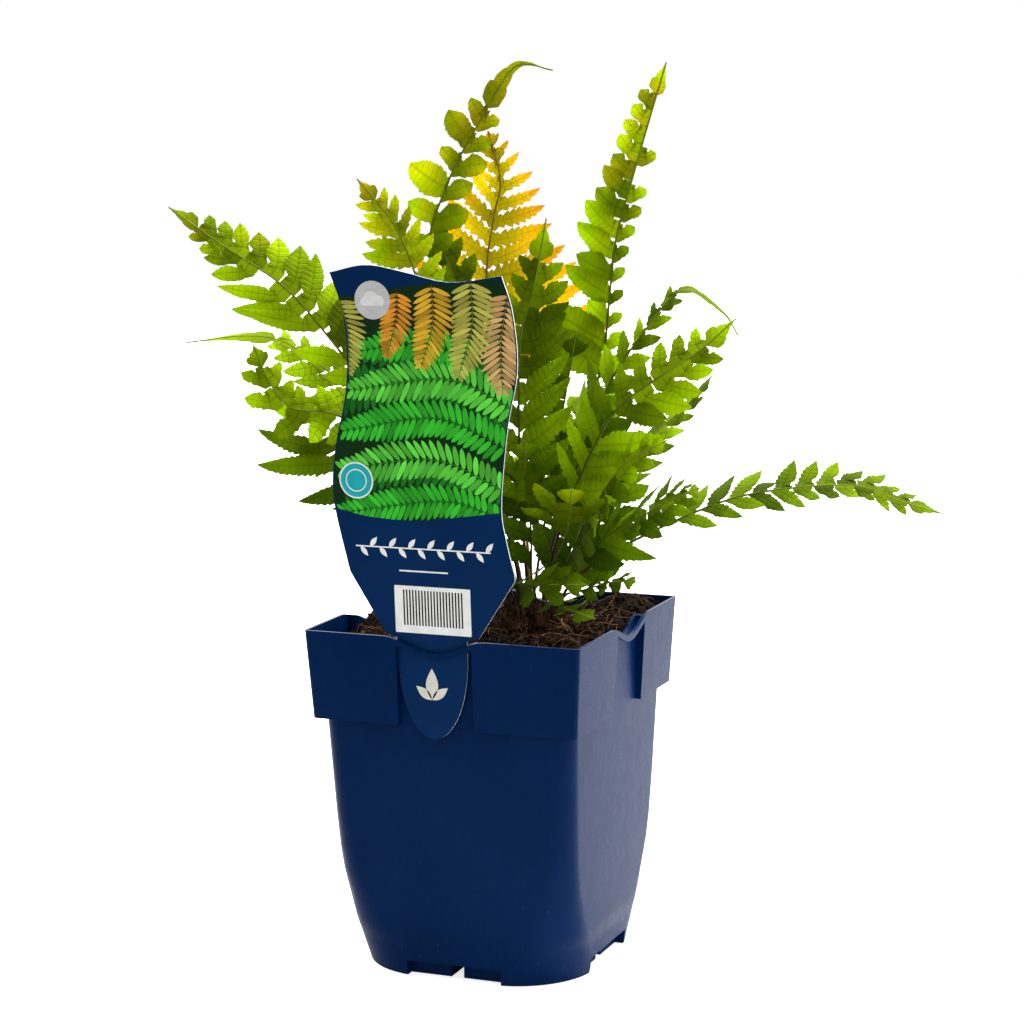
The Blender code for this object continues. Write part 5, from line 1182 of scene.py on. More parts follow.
def heap_peat(peat):
    """The peat: square rings from the middle out to the wall, lifted to its height, and a body below."""
    edge = resample(square_loop(0.0, SOIL_EDGE, 1.0, PEAT_STEPS), PEAT_COLUMNS)
    loops = [keep_off_slots(resample(square_loop(*section), PEAT_COLUMNS)) for section in PEAT_BODY]
    for part in np.linspace(0.01, 1.0, PEAT_RINGS)[::-1] ** 0.9:
        loop = keep_off_slots(edge * part)
        loop[:, 2] = soil_height(loop[:, 0], loop[:, 1])
        loops.append(loop)
    return add_mesh("peat", *loft(loops), (peat,), sharp=SMOOTH)


def resample(loop, count):
    """The closed loop again, as points at even steps along it."""
    closed = np.vstack((loop, loop[:1]))
    steps = np.linalg.norm(np.diff(closed, axis=0), axis=1)
    reached = np.concatenate(([0.0], np.cumsum(steps)))
    at = np.linspace(0, reached[-1], count, endpoint=False)
    return np.stack([np.interp(at, reached, closed[:, axis]) for axis in range(3)], -1)


def scatter_peat(peat):
    """Loose crumbs on the peat: sizes fall off steeply, and most of them lie half sunk."""
    rng = np.random.default_rng(SEED + 11)
    x, y = rng.uniform(-SOIL_EDGE + CRUMB_EDGE, SOIL_EDGE - CRUMB_EDGE, (2, CRUMBS))
    sizes = CRUMB_SIZES[0] + CRUMB_SIZES[1] * rng.uniform(0, 1, CRUMBS) ** CRUMB_RARITY
    centres = keep_off_slots(np.stack((x, y, np.zeros(CRUMBS)), -1))
    centres[:, 2] = soil_height(centres[:, 0], centres[:, 1]) + sizes * rng.uniform(*CRUMB_LIFT, CRUMBS)
    points, faces = crumbs(centres, sizes, SEED + 12)
    pile = Pile()
    pile.add(points, faces, None, greys(rng, CRUMBS, CRUMB_POINTS))
    return pile.make("peat_crumbs", (peat,), sharp=CRUMB_SHARP)


def lay_roots(fibre):
    """Thin root fibres on the peat: each is a short wandering tube that follows the surface."""
    rng = np.random.default_rng(SEED + 21)
    pile = Pile()
    for _ in range(ROOTS):
        length = rng.uniform(*ROOT_LENGTHS)
        start = rng.uniform(-0.85, 0.85, 2) * SOIL_EDGE
        heading = rng.uniform(0, 2 * math.pi)
        heading = heading + np.cumsum(rng.normal(rng.normal(0, ROOT_CURL), ROOT_WANDER, ROOT_STEPS))
        way = np.cumsum(np.stack((np.cos(heading), np.sin(heading)), -1) * length / ROOT_STEPS, axis=0)
        across = np.clip(start + way, -SOIL_EDGE + ROOT_EDGE, SOIL_EDGE - ROOT_EDGE)
        rise = ROOT_ARCH[0] + ROOT_ARCH[1] * rng.uniform() ** 2.5
        arch = np.sin(np.linspace(0, math.pi, ROOT_STEPS)) * rise
        height = soil_height(across[:, 0], across[:, 1]) + arch + 0.1
        path = np.column_stack((across, height))
        thick = ROOT_THICK[0] + ROOT_THICK[1] * rng.uniform() ** 2 * np.linspace(1, 0.5, ROOT_STEPS)
        points, faces = tube(path, np.tile((0.0, 0.0, 1.0), (ROOT_STEPS, 1)), thick, thick, ROOT_SIDES)
        pile.add(points, faces, None, greys(rng, 1, len(points)))
    return pile.make("root_fibres", (fibre,), sharp=SMOOTH)


def globe(turn, tilt):
    """Outward directions, turned round the vertical and tilted up from the level."""
    return np.stack((np.cos(turn) * np.cos(tilt), np.sin(turn) * np.cos(tilt), np.sin(tilt) + 0 * turn), -1)


def swell_rhizome(rhizome):
    """The crown: an ellipsoid whose radius swells and sinks in lumps round and up it, wrapped in scales."""
    tilt = np.linspace(-0.49 * math.pi, 0.49 * math.pi, CROWN_GRID[0])[:, None]
    turn = turns(CROWN_GRID[1])[None]
    lumps = 0.04 * np.sin(3 * turn + 2.2 * tilt), 0.05 * np.sin(9 * turn + 7 * tilt)
    lump = 1 + lumps[0] * np.cos(tilt) + lumps[1] * np.cos(tilt)
    radii = np.array(CROWN_RADII) * lump[..., None] * CROWN_CORE
    surface = np.array(CROWN_CENTRE) + globe(turn, tilt) * radii
    pile = Pile()
    pile.add(*loft(list(surface)))
    rng = np.random.default_rng(SEED + 31)
    turn, tilt = rng.uniform(0, 2 * math.pi, CROWN_SCALES), np.arcsin(rng.uniform(-0.1, 0.98, CROWN_SCALES))
    out = globe(turn, tilt)
    starts = np.array(CROWN_CENTRE) + out * np.array(CROWN_RADII) * SCALE_ROOTS
    ways = unit(out * rng.uniform(0.3, 0.9, (CROWN_SCALES, 1)) + (0, 0, 0.7) + rng.normal(0, 0.3, out.shape))
    across = unit(np.cross(ways, out + 1e-3))
    lengths = rng.uniform(*CROWN_SCALE_LENGTHS, CROWN_SCALES)
    widths = rng.uniform(*CROWN_SCALE_WIDTHS, CROWN_SCALES)
    points, faces = slivers(starts, ways, across, lengths, widths, widths * SCALE_DEPTH)
    pile.add(points, faces, None, greys(rng, CROWN_SCALES, SCALE_POINTS))
    return pile.make("rhizome", (rhizome,), sharp=SHARP)


def clothe_stipes(fronds, rhizome):
    """Brown papery scales on the stipes: thick at the foot, sparse higher up, pressed to the stem."""
    rng = np.random.default_rng(SEED + 41)
    pile = Pile()
    for frond in fronds:
        along = frond.bare * rng.uniform(0.06, 1.0, STIPE_SCALES) ** 1.9
        point, direction, normal, across = frond.frame(along)
        turn = rng.uniform(0, 2 * math.pi, (STIPE_SCALES, 1))
        out = across * np.cos(turn) + normal * np.sin(turn)
        half, _ = frond.stem_size(along)
        start = point + out * (0.8 * STEM_SLIM * half)[:, None]
        ways = unit(direction + out * rng.uniform(0.15, 0.9, (STIPE_SCALES, 1)))
        sideways = unit(np.cross(ways, out))
        lengths = rng.uniform(*STIPE_SCALE_LENGTHS, STIPE_SCALES) * (1.1 - 0.6 * along / frond.bare)
        widths, depths = (lengths * part for part in STIPE_SCALE_SLIM)
        points, faces = slivers(start, ways, sideways, lengths, widths, depths)
        pile.add(points, faces, None, greys(rng, STIPE_SCALES, SCALE_POINTS))
    return pile.make("stipe_scales", (rhizome,), sharp=SHARP)


# -------- tag


def tag_edges(height):
    """The tag's edges, left and right, at these heights above the fold: round tongue, shoulder, sides."""
    sides = []
    for sign, knots in ((-1, TAG_LEFT[::-1]), (1, TAG_RIGHT)):
        curve = spline(knots, 8)
        tongue = TONGUE_CENTRE + sign * TONGUE_HALF
        up = np.concatenate(((0.0, SHOULDER[0], SHOULDER[1]), curve[:, 1]))
        out = np.concatenate(((tongue, tongue, tongue + sign * SHOULDER_WIDER), curve[:, 0]))
        upper = np.interp(height, up, out)
        hang = np.clip(-height / TONGUE_LENGTH, 0, 1)
        sides.append(np.where(height < 0, TONGUE_CENTRE + sign * TONGUE_HALF * np.sqrt(1 - hang**2), upper))
    return sides


def tag_top(across):
    """The height of the tag's wavy top edge."""
    curve = spline(TAG_TOP[::-1], 8)
    return np.interp(across, curve[:, 0], curve[:, 1])


def tag_place(across, height, lift):
    """Points on the tag, this far in front of its middle plane; the part below the fold hangs straight."""
    height = np.asarray(height, float)
    leaning = height > 0
    y = TAG_Y - np.where(leaning, math.sin(TAG_LEAN), 0.0) * height - lift
    z = TAG_FOLD + np.where(leaning, math.cos(TAG_LEAN), 1.0) * height
    return np.stack(np.broadcast_arrays(np.asarray(across, float), y, z), -1)


def cut_tag(finish, core):
    """The tag: a grid between its two edges, from the tongue's end to the wavy top, given its thickness."""
    hang = -TONGUE_LENGTH * np.cos(np.linspace(0.02, math.pi / 2, 14))
    rise = np.concatenate((np.linspace(0, SHOULDER[0], 4)[1:], np.linspace(*SHOULDER, 4)[1:],
                           np.linspace(SHOULDER[1], TAG_RIGHT[-1][1], 60)[1:]))
    height = np.concatenate((hang, rise))
    left, right = tag_edges(height)
    part = (1 - np.cos(np.linspace(0, math.pi, 25))) / 2
    across = left[:, None] * (1 - part) + right[:, None] * part
    stretch = tag_top(across) / TAG_RIGHT[-1][1]
    tall = np.maximum(height, 0)[:, None] / TAG_RIGHT[-1][1]
    up = height[:, None] * np.where(height[:, None] > 0, 1 + (stretch - 1) * tall**4, 1.0)
    middle = tag_place(across, up, 0.0)
    normals = np.broadcast_to((0.0, -1.0, 0.0), middle.shape)
    halves = np.full(middle.shape[:2], TAG_THICKNESS / 2)
    points, faces = shell(middle[:, ::-1], normals, halves)
    uv = np.stack((across, up), -1)[:, ::-1].reshape(-1, 2)
    pile = Pile()
    pile.add(points, faces, np.vstack((uv, uv)), None, (0, 0, 1))
    return pile.make("tag", (finish, core), sharp=SHARP)


def decal(pile, outline, level, colour):
    """A closed slab of ink: an outline of points across and up the tag, this many layers above its front."""
    outline = np.asarray(outline, float)
    area = np.sum(outline[:, 0] * np.roll(outline[:, 1], -1) - outline[:, 1] * np.roll(outline[:, 0], -1))
    outline = outline if area > 0 else outline[::-1]
    front = TAG_THICKNESS / 2 + INK * level
    loops = [tag_place(outline[:, 0], outline[:, 1], depth) for depth in (TAG_THICKNESS / 2 - 0.1, front)]
    pile.add(*loft(loops), None, (*colour, 1.0), 0)


def within_tag(points, margin):
    """Points across and up the tag, pulled in to stay this far inside its edges."""
    left, right = tag_edges(points[:, 1])
    return np.stack((np.clip(points[:, 0], left + margin, right - margin), points[:, 1]), -1)


def ring_of(centre, radius):
    """A circle's outline."""
    turn = turns(RING_SIDES)
    return np.stack((centre[0] + radius * np.cos(turn), centre[1] + radius * np.sin(turn)), -1)


def oblong(centre, half, corner, count=5):
    """A rectangle's outline with round corners."""
    loop = square_loop(0.0, 1.0 + corner, corner, count)[:, :2]
    away = loop - np.clip(loop, -1.0, 1.0)
    return np.clip(loop, -1.0, 1.0) * (np.array(half) - corner) + away + np.array(centre)


def cloud_outline(centre):
    """A cloud with a flat base: at every angle, the farthest that any of its round puffs reaches."""
    turn = turns(CLOUD_SIDES)[:, None]
    puffs = np.array(CLOUD)
    ahead = puffs[:, 0] * np.cos(turn) + puffs[:, 1] * np.sin(turn)
    beside = puffs[:, 0] * np.sin(turn) - puffs[:, 1] * np.cos(turn)
    reach = np.max(np.where(np.abs(beside) < puffs[:, 2],
                            ahead + np.sqrt(np.maximum(0.0, puffs[:, 2] ** 2 - beside**2)), 0.5), axis=1)
    x, y = reach * np.cos(turn[:, 0]), np.maximum(reach * np.sin(turn[:, 0]), CLOUD_BASE)
    return np.stack((x, y), -1) + np.array(centre)


def leaflet(start, way, length, width, blunt=1.0):
    """A narrow leaf: both sides are half a sine wave, to a power that squares the ends of blunt ones."""
    part = np.linspace(0, 1, 9)
    side = 0.5 * width * np.sin(math.pi * part**0.9) ** (1 / blunt)
    along, across = way * length, np.array((-way[1], way[0]))
    there, back = part[:, None], part[-2:0:-1, None]
    return np.vstack((start + along * there + across * side[:, None],
                      start + along * back - across * side[-2:0:-1, None]))


def within_picture(points):
    """Points across and up the tag, pulled in to stay on its picture."""
    foot, top = spline(PICTURE_FOOT, 6), spline(PICTURE_TOP, 6)
    low = np.interp(points[:, 0], foot[:, 0], foot[:, 1])
    high = np.interp(points[:, 0], top[:, 0], top[:, 1])
    return within_tag(np.stack((points[:, 0], np.clip(points[:, 1], low, high)), -1), 0.6)


def sprig(pile, rachis, lengths, count, colour, level, rng):
    """A printed fern leaf: blunt leaflets in pairs along a curve, each in a slightly different ink."""
    curve = spline(rachis, 12)
    steps = np.concatenate(([0.0], np.cumsum(np.linalg.norm(np.diff(curve, axis=0), axis=1))))
    for part in (np.arange(count) + 0.5) / count:
        at = part * steps[-1]
        point = np.array([np.interp(at, steps, curve[:, axis]) for axis in (0, 1)])
        ahead = np.array([np.interp(at + 1.0, steps, curve[:, axis]) for axis in (0, 1)])
        heading = unit(ahead - point + 1e-6)
        length = float(np.interp(part, np.linspace(0, 1, len(lengths)), lengths))
        for side in (-1, 1):
            turn = side * math.radians(LEAFLET_TURN[0] - LEAFLET_TURN[1] * part)
            way = np.array((heading[0] * math.cos(turn) - heading[1] * math.sin(turn),
                            heading[0] * math.sin(turn) + heading[1] * math.cos(turn)))
            shade = np.clip(np.array(colour) * rng.uniform(*LEAFLET_SHADES), 0, 1)
            width = 0.95 * steps[-1] / count * math.sin(abs(turn))
            reach = length * rng.uniform(*LEAFLET_LENGTHS)
            outline = within_picture(leaflet(point, way, reach, width, LEAFLET_BLUNT))
            if np.ptp(outline, axis=0).min() > LEAFLET_LEAST:
                decal(pile, outline, level + 0.12 * rng.integers(4), shade)
    stem = within_picture(curve)
    across = np.stack((-np.gradient(stem[:, 1]), np.gradient(stem[:, 0])), -1)
    across = MIDRIB_HALF * across / (np.linalg.norm(across, axis=1, keepdims=True) + 1e-6)
    outline = np.vstack((stem + across, (stem - across)[::-1]))
    decal(pile, outline, level + 0.6, np.array(colour) * MIDRIB_SHADE)


def print_tag(pile, look):
    """The tag's print: a leafy picture, two discs, a white panel of even bars, and plain ornaments."""
    rng = np.random.default_rng(SEED + 51)
    wave, crown = spline(PICTURE_FOOT, 8), spline(PICTURE_TOP, 8)
    rise = np.linspace(*PICTURE_SIDES, 36)
    left, right = tag_edges(rise)
    outline = np.vstack((wave, np.stack((right, rise), -1), crown[::-1], np.stack((left, rise), -1)[::-1]))
    decal(pile, within_picture(outline), 1, PICTURE_GROUND)
    for layer, (rachis, lengths, count, ink) in enumerate(SPRIGS):
        sprig(pile, rachis, lengths, count, LEAF_INKS[ink], LEAF_LEVELS[0] + LEAF_LEVELS[1] * layer, rng)
    disc_level = LEAF_LEVELS[0] + 1.0 + LEAF_LEVELS[1] * len(SPRIGS)
    decal(pile, ring_of(DISC_CENTRE, DISC_RADIUS), disc_level, DISC_GREY)
    decal(pile, cloud_outline(DISC_CENTRE), disc_level + 1, CLOUD_WHITE)
    for above, radius in enumerate(BADGE_RADII):
        colour = tuple(look.badge) if above % 2 else PAPER_WHITE
        decal(pile, ring_of(BADGE_CENTRE, radius), disc_level + above, colour)
    decal(pile, oblong(*PANEL, PANEL_CORNER), 1, PAPER_WHITE)
    for x in np.linspace(*BAR_RANGE, BARS):
        decal(pile, oblong((x, BAR_HEIGHT), BAR_HALF, 0.1, 2), 2, INK_BLACK)
    for at in range(ORNAMENT_LEAVES):
        x = ORNAMENT[0] + (ORNAMENT[1] - ORNAMENT[0]) * (at + 0.5) / ORNAMENT_LEAVES
        way = unit(np.array((0.8, 1.0 if at % 2 else -1.0)))
        decal(pile, leaflet(np.array((x, ORNAMENT_HEIGHT)), way, *ORNAMENT_LEAF), 1, PAPER_WHITE)
    middle, reach = sum(ORNAMENT) / 2, (ORNAMENT[1] - ORNAMENT[0]) / 2
    stem = oblong((middle, ORNAMENT_HEIGHT), (reach, ORNAMENT_STEM), RULE_CORNER, 2)
    decal(pile, stem, 1.5, PAPER_WHITE)
    decal(pile, oblong((middle, RULE_HEIGHT), RULE_HALF, RULE_CORNER, 2), 1, PAPER_WHITE)
    for degrees, length in TONGUE_LEAVES:
        way = np.array((math.cos(math.radians(degrees)), math.sin(math.radians(degrees))))
        leaf = leaflet(np.array(TONGUE_MARK), way, length, length * TONGUE_LEAF_SLIM)
        decal(pile, leaf, 1, TONGUE_CREAM)


# -------- finishes


class Nodes:
    """A node tree, with short ways to add the nodes that finishes are made of."""

    def __init__(self, tree):
        self.tree = tree

    def feed(self, node, inputs):
        """Give a node its inputs: each is a value, or another node's socket to link from."""
        for name, value in inputs.items():
            if isinstance(value, bpy.types.NodeSocket):
                self.tree.links.new(value, node.inputs[name])
            else:
                node.inputs[name].default_value = value
        return node

    def put(self, kind, inputs=None, **settings):
        """Add a node with its own settings and inputs."""
        made = self.tree.nodes.new(kind)
        for name, value in settings.items():
            setattr(made, name, value)
        return self.feed(made, inputs or {})

    def sum(self, operation, first, second=0.0, clamp=False):
        """One sum of two numbers or sockets."""
        made = self.put("ShaderNodeMath", {0: first, 1: second}, operation=operation, use_clamp=clamp)
        return made.outputs[0]

    def times(self, first, second):
        """The first times the second."""
        return self.sum("MULTIPLY", first, second)

    def plus(self, first, second):
        """The first and the second together."""
        return self.sum("ADD", first, second)

    def apart(self, value, centre):
        """How far a value lies from a centre, on either side of it."""
        return self.sum("ABSOLUTE", self.sum("SUBTRACT", value, centre))

    def spread(self, value, low, high, to_low=0.0, to_high=1.0):
        """A value carried smoothly from one range to another, and held at its ends."""
        inputs = {"Value": value, "From Min": low, "From Max": high, "To Min": to_low, "To Max": to_high}
        return self.put("ShaderNodeMapRange", inputs, interpolation_type="SMOOTHSTEP").outputs["Result"]

    def mix(self, factor, first, second, how="MIX"):
        """Two colours, blended by a factor."""
        inputs = {0: factor}
        for place, colour in ((6, first), (7, second)):
            inputs[place] = colour if isinstance(colour, bpy.types.NodeSocket) else (*colour, 1.0)
        return self.put("ShaderNodeMix", inputs, data_type="RGBA", blend_type=how).outputs[2]

    def darken(self, mask, share, colour, shade):
        """A colour, multiplied by a shade to this share where the mask is 1."""
        return self.mix(self.times(mask, share), colour, shade, "MULTIPLY")

    def speckle(self, vector, scale, detail=2.0, rough=0.5):
        """Soft noise from 0 to 1."""
        inputs = {"Vector": vector, "Scale": scale, "Detail": detail, "Roughness": rough}
        return self.put("ShaderNodeTexNoise", inputs).outputs["Fac"]

    def axis(self, vector, name):
        """One coordinate of a vector."""
        return self.put("ShaderNodeSeparateXYZ", {0: vector}).outputs[name]

    def group(self, build, inputs):
        """The outputs of a shared node group with these values; it is built when it is first used."""
        shared = bpy.data.node_groups.get(build.__name__) or build()
        return self.feed(self.put("ShaderNodeGroup", node_tree=shared), inputs).outputs


def new_group(name, inputs, outputs):
    """A shader node group with these named sockets: (its nodes, its inputs, its output node)."""
    tree = bpy.data.node_groups.new(name, "ShaderNodeTree")
    tree.interface.new_socket("Vector", in_out="INPUT", socket_type="NodeSocketVector")
    for socket, value in inputs.items():
        made = tree.interface.new_socket(socket, in_out="INPUT", socket_type="NodeSocketFloat")
        made.default_value = value
    for socket in outputs:
        tree.interface.new_socket(socket, in_out="OUTPUT", socket_type="NodeSocketFloat")
    return Nodes(tree), tree.nodes.new("NodeGroupInput").outputs, tree.nodes.new("NodeGroupOutput")


def grain():
    """Grain: broad clouds for colour, and fine grit for the height, at a size given in marks per metre."""
    nodes, given, out = new_group("grain", {"Broad": 60.0, "Fine": 900.0}, ("Clouds", "Grit", "Height"))
    clouds = nodes.speckle(given["Vector"], given["Broad"], 3.0)
    grit = nodes.speckle(given["Vector"], given["Fine"], 4.0, 0.65)
    nodes.feed(out, {"Clouds": nodes.spread(clouds, 0.3, 0.7), "Grit": nodes.spread(grit, 0.35, 0.65),
                     "Height": nodes.plus(nodes.times(clouds, 0.5), nodes.times(grit, 0.5))})
    return nodes.tree


def veins():
    """Leaf veins from the leaf's own map: its costa, each lobe's midvein and side veins, and their relief."""
    nodes, given, out = new_group("veins", {}, ("Costa", "Veins", "Lobes", "Height"))
    across = nodes.sum("ABSOLUTE", nodes.axis(given["Vector"], "Y"))
    phase = nodes.sum("FRACT", nodes.axis(given["Vector"], "X"))
    costa = nodes.spread(across, *COSTA_EDGES, 1.0, 0.0)
    beside = nodes.apart(nodes.sum("SUBTRACT", phase, nodes.times(across, MIDVEIN_SLANT)), MIDVEIN_PHASE)
    midvein = nodes.spread(beside, *MIDVEIN_EDGES, 1.0, 0.0)
    turn = nodes.plus(nodes.times(across, SIDE_VEINS[0]), nodes.times(beside, SIDE_VEINS[1]))
    side = nodes.times(nodes.spread(nodes.sum("SINE", turn), 0.4, 1.0), 0.4)
    fine = nodes.sum("MAXIMUM", midvein, side)
    lobes = nodes.spread(nodes.apart(phase, 0.5), 0.25, 0.5, 1.0, 0.0)
    sunk = nodes.plus(nodes.times(fine, 0.45), costa)
    nodes.feed(out, {"Costa": costa, "Veins": fine, "Lobes": lobes,
                     "Height": nodes.sum("SUBTRACT", nodes.times(lobes, 0.8), sunk)})
    return nodes.tree


class Finish(Nodes):
    """A material's nodes: its Principled shader, its Object coordinates and the shared grain."""

    def __init__(self, name, kind=None):
        self.plan = FINISHES[kind or name]
        self.material = bpy.data.materials.new(name)
        self.material.use_nodes = True
        super().__init__(self.material.node_tree)
        self.shader = self.tree.nodes["Principled BSDF"]
        self.place = self.put("ShaderNodeTexCoord").outputs["Object"]
        marks = {"Vector": self.place, "Broad": self.plan["broad"], "Fine": self.plan["fine"]}
        cloud = self.group(grain, marks)
        self.clouds, self.grit, self.rugged = cloud["Clouds"], cloud["Grit"], cloud["Height"]

    def tint(self):
        """The piece's own tint: its three channels, its fourth one, and the whole as a colour."""
        made = self.put("ShaderNodeAttribute", attribute_name="tint").outputs
        channels = self.put("ShaderNodeSeparateColor", {"Color": made["Color"]}).outputs
        return channels, made["Alpha"], made["Color"]

    def surface(self, colour, height=None, rough=None):
        """The material, with this colour and relief; its roughness follows the grit unless one is given."""
        plan = self.plan
        if rough is None:
            rough = self.spread(self.grit, 0.0, 1.0, *plan["rough"])
        skin = {"Base Color": colour, "Roughness": rough, "Specular IOR Level": plan["shine"]}
        self.feed(self.shader, skin)
        if height is not None:
            relief = {"Height": height, "Strength": plan["strength"], "Distance": plan["depth"]}
            self.feed(self.shader, {"Normal": self.put("ShaderNodeBump", relief).outputs["Normal"]})
        return self.material


def leaf_finish(look):
    """Leaf: green, with painted shade lower down and painted light higher up, turning gold and copper with
    the frond's tone and at its tips.
    """
    leaf = Finish("fern_leaf")
    tint, along, _ = leaf.tint()
    vein = leaf.group(veins, {"Vector": leaf.put("ShaderNodeUVMap", uv_map="UVMap").outputs[0]})
    wide = leaf.spread(leaf.speckle(leaf.place, LEAF_PATCHES, 1.0), 0.35, 0.65)
    freshness_and_shade = 0.0
    for mask, share in zip((leaf.clouds, tint["Blue"], wide, tint["Red"], tint["Green"]), LEAF_FRESHNESS):
        freshness_and_shade = leaf.sum("ADD", freshness_and_shade, leaf.times(mask, share), clamp=True)
    height = leaf.axis(leaf.place, "Z")
    # Painted shade: the lower leaves are darkened towards deep green.
    freshness_and_shade = leaf.times(freshness_and_shade, leaf.spread(height, *LEAF_SHADE_HEIGHTS, LEAF_SHADED_FRESHNESS, 1.0))
    green = leaf.mix(freshness_and_shade, look.leaf_deep, look.leaf_fresh)
    turned = leaf.plus(tint["Red"], leaf.times(leaf.sum("SUBTRACT", leaf.clouds, 0.5), LEAF_UNEVEN))
    # Painted light: the upper leaves are yellowed towards gold.
    place_and_light = leaf.spread(height, *LEAF_LIGHT_HEIGHTS, 0.0, LEAF_PLACE_AND_LIGHT[1])
    place_and_light = leaf.plus(leaf.times(tint["Green"], LEAF_PLACE_AND_LIGHT[0]), place_and_light)
    gold = leaf.mix(leaf.spread(leaf.plus(turned, place_and_light), *LEAF_TURNING, 0.0, 1.0), green, look.leaf_gold)
    rim = leaf.times(leaf.sum("POWER", along, 2.0), leaf.spread(turned, 0.5, 1.0))
    colour = leaf.mix(leaf.times(rim, LEAF_COPPER_SHARE), gold, look.leaf_copper)
    # Painted shade: darker in the valleys where the lobes meet.
    valleys = leaf.sum("SUBTRACT", 1.0, vein["Lobes"])
    for mask, (share, shade) in zip((vein["Veins"], vein["Costa"], valleys), LEAF_SHADES):
        colour = leaf.darken(mask, share, colour, shade)
    # Painted shade: each pinna is darker at its base, near the rachis, and lighter towards its tip.
    tipward = leaf.spread(along, 0.0, 0.7, *BASE_SHADE_VALUES)
    value = leaf.times(leaf.spread(tint["Blue"], 0.0, 1.0, *LEAF_VALUES), tipward)
    colour = leaf.put("ShaderNodeHueSaturation", {"Value": value, "Color": colour}).outputs[0]
    material = leaf.surface(colour, leaf.plus(vein["Height"], leaf.times(leaf.grit, 0.25)))
    shining = leaf.mix(1.0, colour, LEAF_THROUGH, "MULTIPLY")
    through = leaf.put("ShaderNodeBsdfTranslucent", {"Color": shining}).outputs[0]
    body = leaf.put("ShaderNodeMixShader", {0: LEAF_TRANSLUCENCY, 1: leaf.shader.outputs[0], 2: through})
    leaf.feed(leaf.tree.nodes["Material Output"], {"Surface": body.outputs[0]})
    return material


def stipe_finish(look):
    """Stipe and rachis: dark brown at the foot, turning green, then tan where the frond is copper."""
    stipe = Finish("fern_stipe")
    tint, _, _ = stipe.tint()
    stem = stipe.mix(stipe.spread(tint["Green"], 0.1, 0.5), look.stipe_brown, look.stipe_green)
    pale = stipe.mix(stipe.spread(tint["Green"], 0.45, 1.0), stem, look.stipe_pale)
    warm = stipe.mix(stipe.spread(tint["Red"], 0.3, 1.0), pale, STIPE_TAN)
    return stipe.surface(stipe.darken(stipe.clouds, STIPE_SOIL[0], warm, STIPE_SOIL[1]), stipe.rugged)


def rhizome_finish(look):
    """Rhizome and scales: papery rust brown, each scale in its own shade."""
    scale = Finish("fern_rhizome")
    tint, _, _ = scale.tint()
    shade = scale.mix(tint["Red"], look.rhizome_dark, look.rhizome_rust)
    return scale.surface(scale.darken(scale.clouds, SCALE_SOIL[0], shade, SCALE_SOIL[1]), scale.rugged)


def peat_finish(look, name, light):
    """Peat: nearly black and moist, with tan flecks, and paler grains to this share, rough all over."""
    peat = Finish(name, "peat")
    tint, _, _ = peat.tint()
    earth = peat.mix(peat.clouds, look.peat_dark, look.peat_brown)
    grainy = peat.mix(peat.times(peat.sum("POWER", tint["Red"], 3.0), light), earth, PALE_GRAIN)
    flecks = peat.spread(peat.speckle(peat.place, PEAT_FLECKS, 3.0, 0.7), *FLECK_EDGES)
    return peat.surface(peat.mix(peat.times(flecks, 0.6), grainy, FLECK_TAN), peat.rugged)


def fibre_finish():
    """Root fibres: tan to red brown, a shade each."""
    fibre = Finish("root_fibre")
    tint, _, _ = fibre.tint()
    shade = fibre.mix(fibre.sum("POWER", tint["Red"], 2.0), *FIBRE_SHADES)
    return fibre.surface(fibre.mix(fibre.times(fibre.clouds, 0.5), shade, FIBRE_SOIL), fibre.rugged)


def plastic_finish(look):
    """Moulded pot plastic: satin blue, faintly clouded, with grain, scuffs and dust, most of it low down."""
    pot = Finish("pot_plastic")
    body = pot.mix(pot.times(pot.clouds, 0.5), look.pot_blue, look.pot_worn)
    specks = pot.spread(pot.speckle(pot.place, DUST_SPECKS, 2.0, 0.6), *DUST_EDGES)
    lower = pot.spread(pot.axis(pot.place, "Z"), *DUST_HEIGHTS, 1.0, 0.25)
    dusty = pot.mix(pot.times(pot.times(specks, lower), 0.5), body, DUST_GREY)
    stretched = pot.put("ShaderNodeMapping", {"Vector": pot.place, "Scale": SCUFFS}).outputs[0]
    scuffs = pot.speckle(stretched, 3.0, 4.0, 0.7)
    rough = pot.plus(pot.spread(scuffs, *SCUFF_EDGES, *pot.plan["rough"]), pot.times(pot.grit, 0.05))
    return pot.surface(dusty, pot.plus(pot.grit, pot.times(scuffs, 0.3)), rough)


def tag_finish(look):
    """The tag's dark printed card: a laminate with a slight sheen over blue ink, faintly clouded."""
    card = Finish("tag_card")
    paler = tuple(value * CARD_PALER for value in look.tag_blue)
    return card.surface(card.mix(card.times(card.clouds, 0.4), look.tag_blue, paler), card.grit)


def ink_finish():
    """Printed ink, tinted by the shape's own colour and broken up by fine mottling."""
    ink = Finish("tag_ink")
    _, _, colour = ink.tint()
    return ink.surface(ink.darken(ink.clouds, INK_SOIL[0], colour, INK_SOIL[1]), ink.grit)


def core_finish():
    """The white core of the card, which shows at its cut edges, a little soiled."""
    core = Finish("tag_core")
    return core.surface(core.mix(core.times(core.clouds, 0.5), *CORE_WHITES), core.grit)


# -------- studio


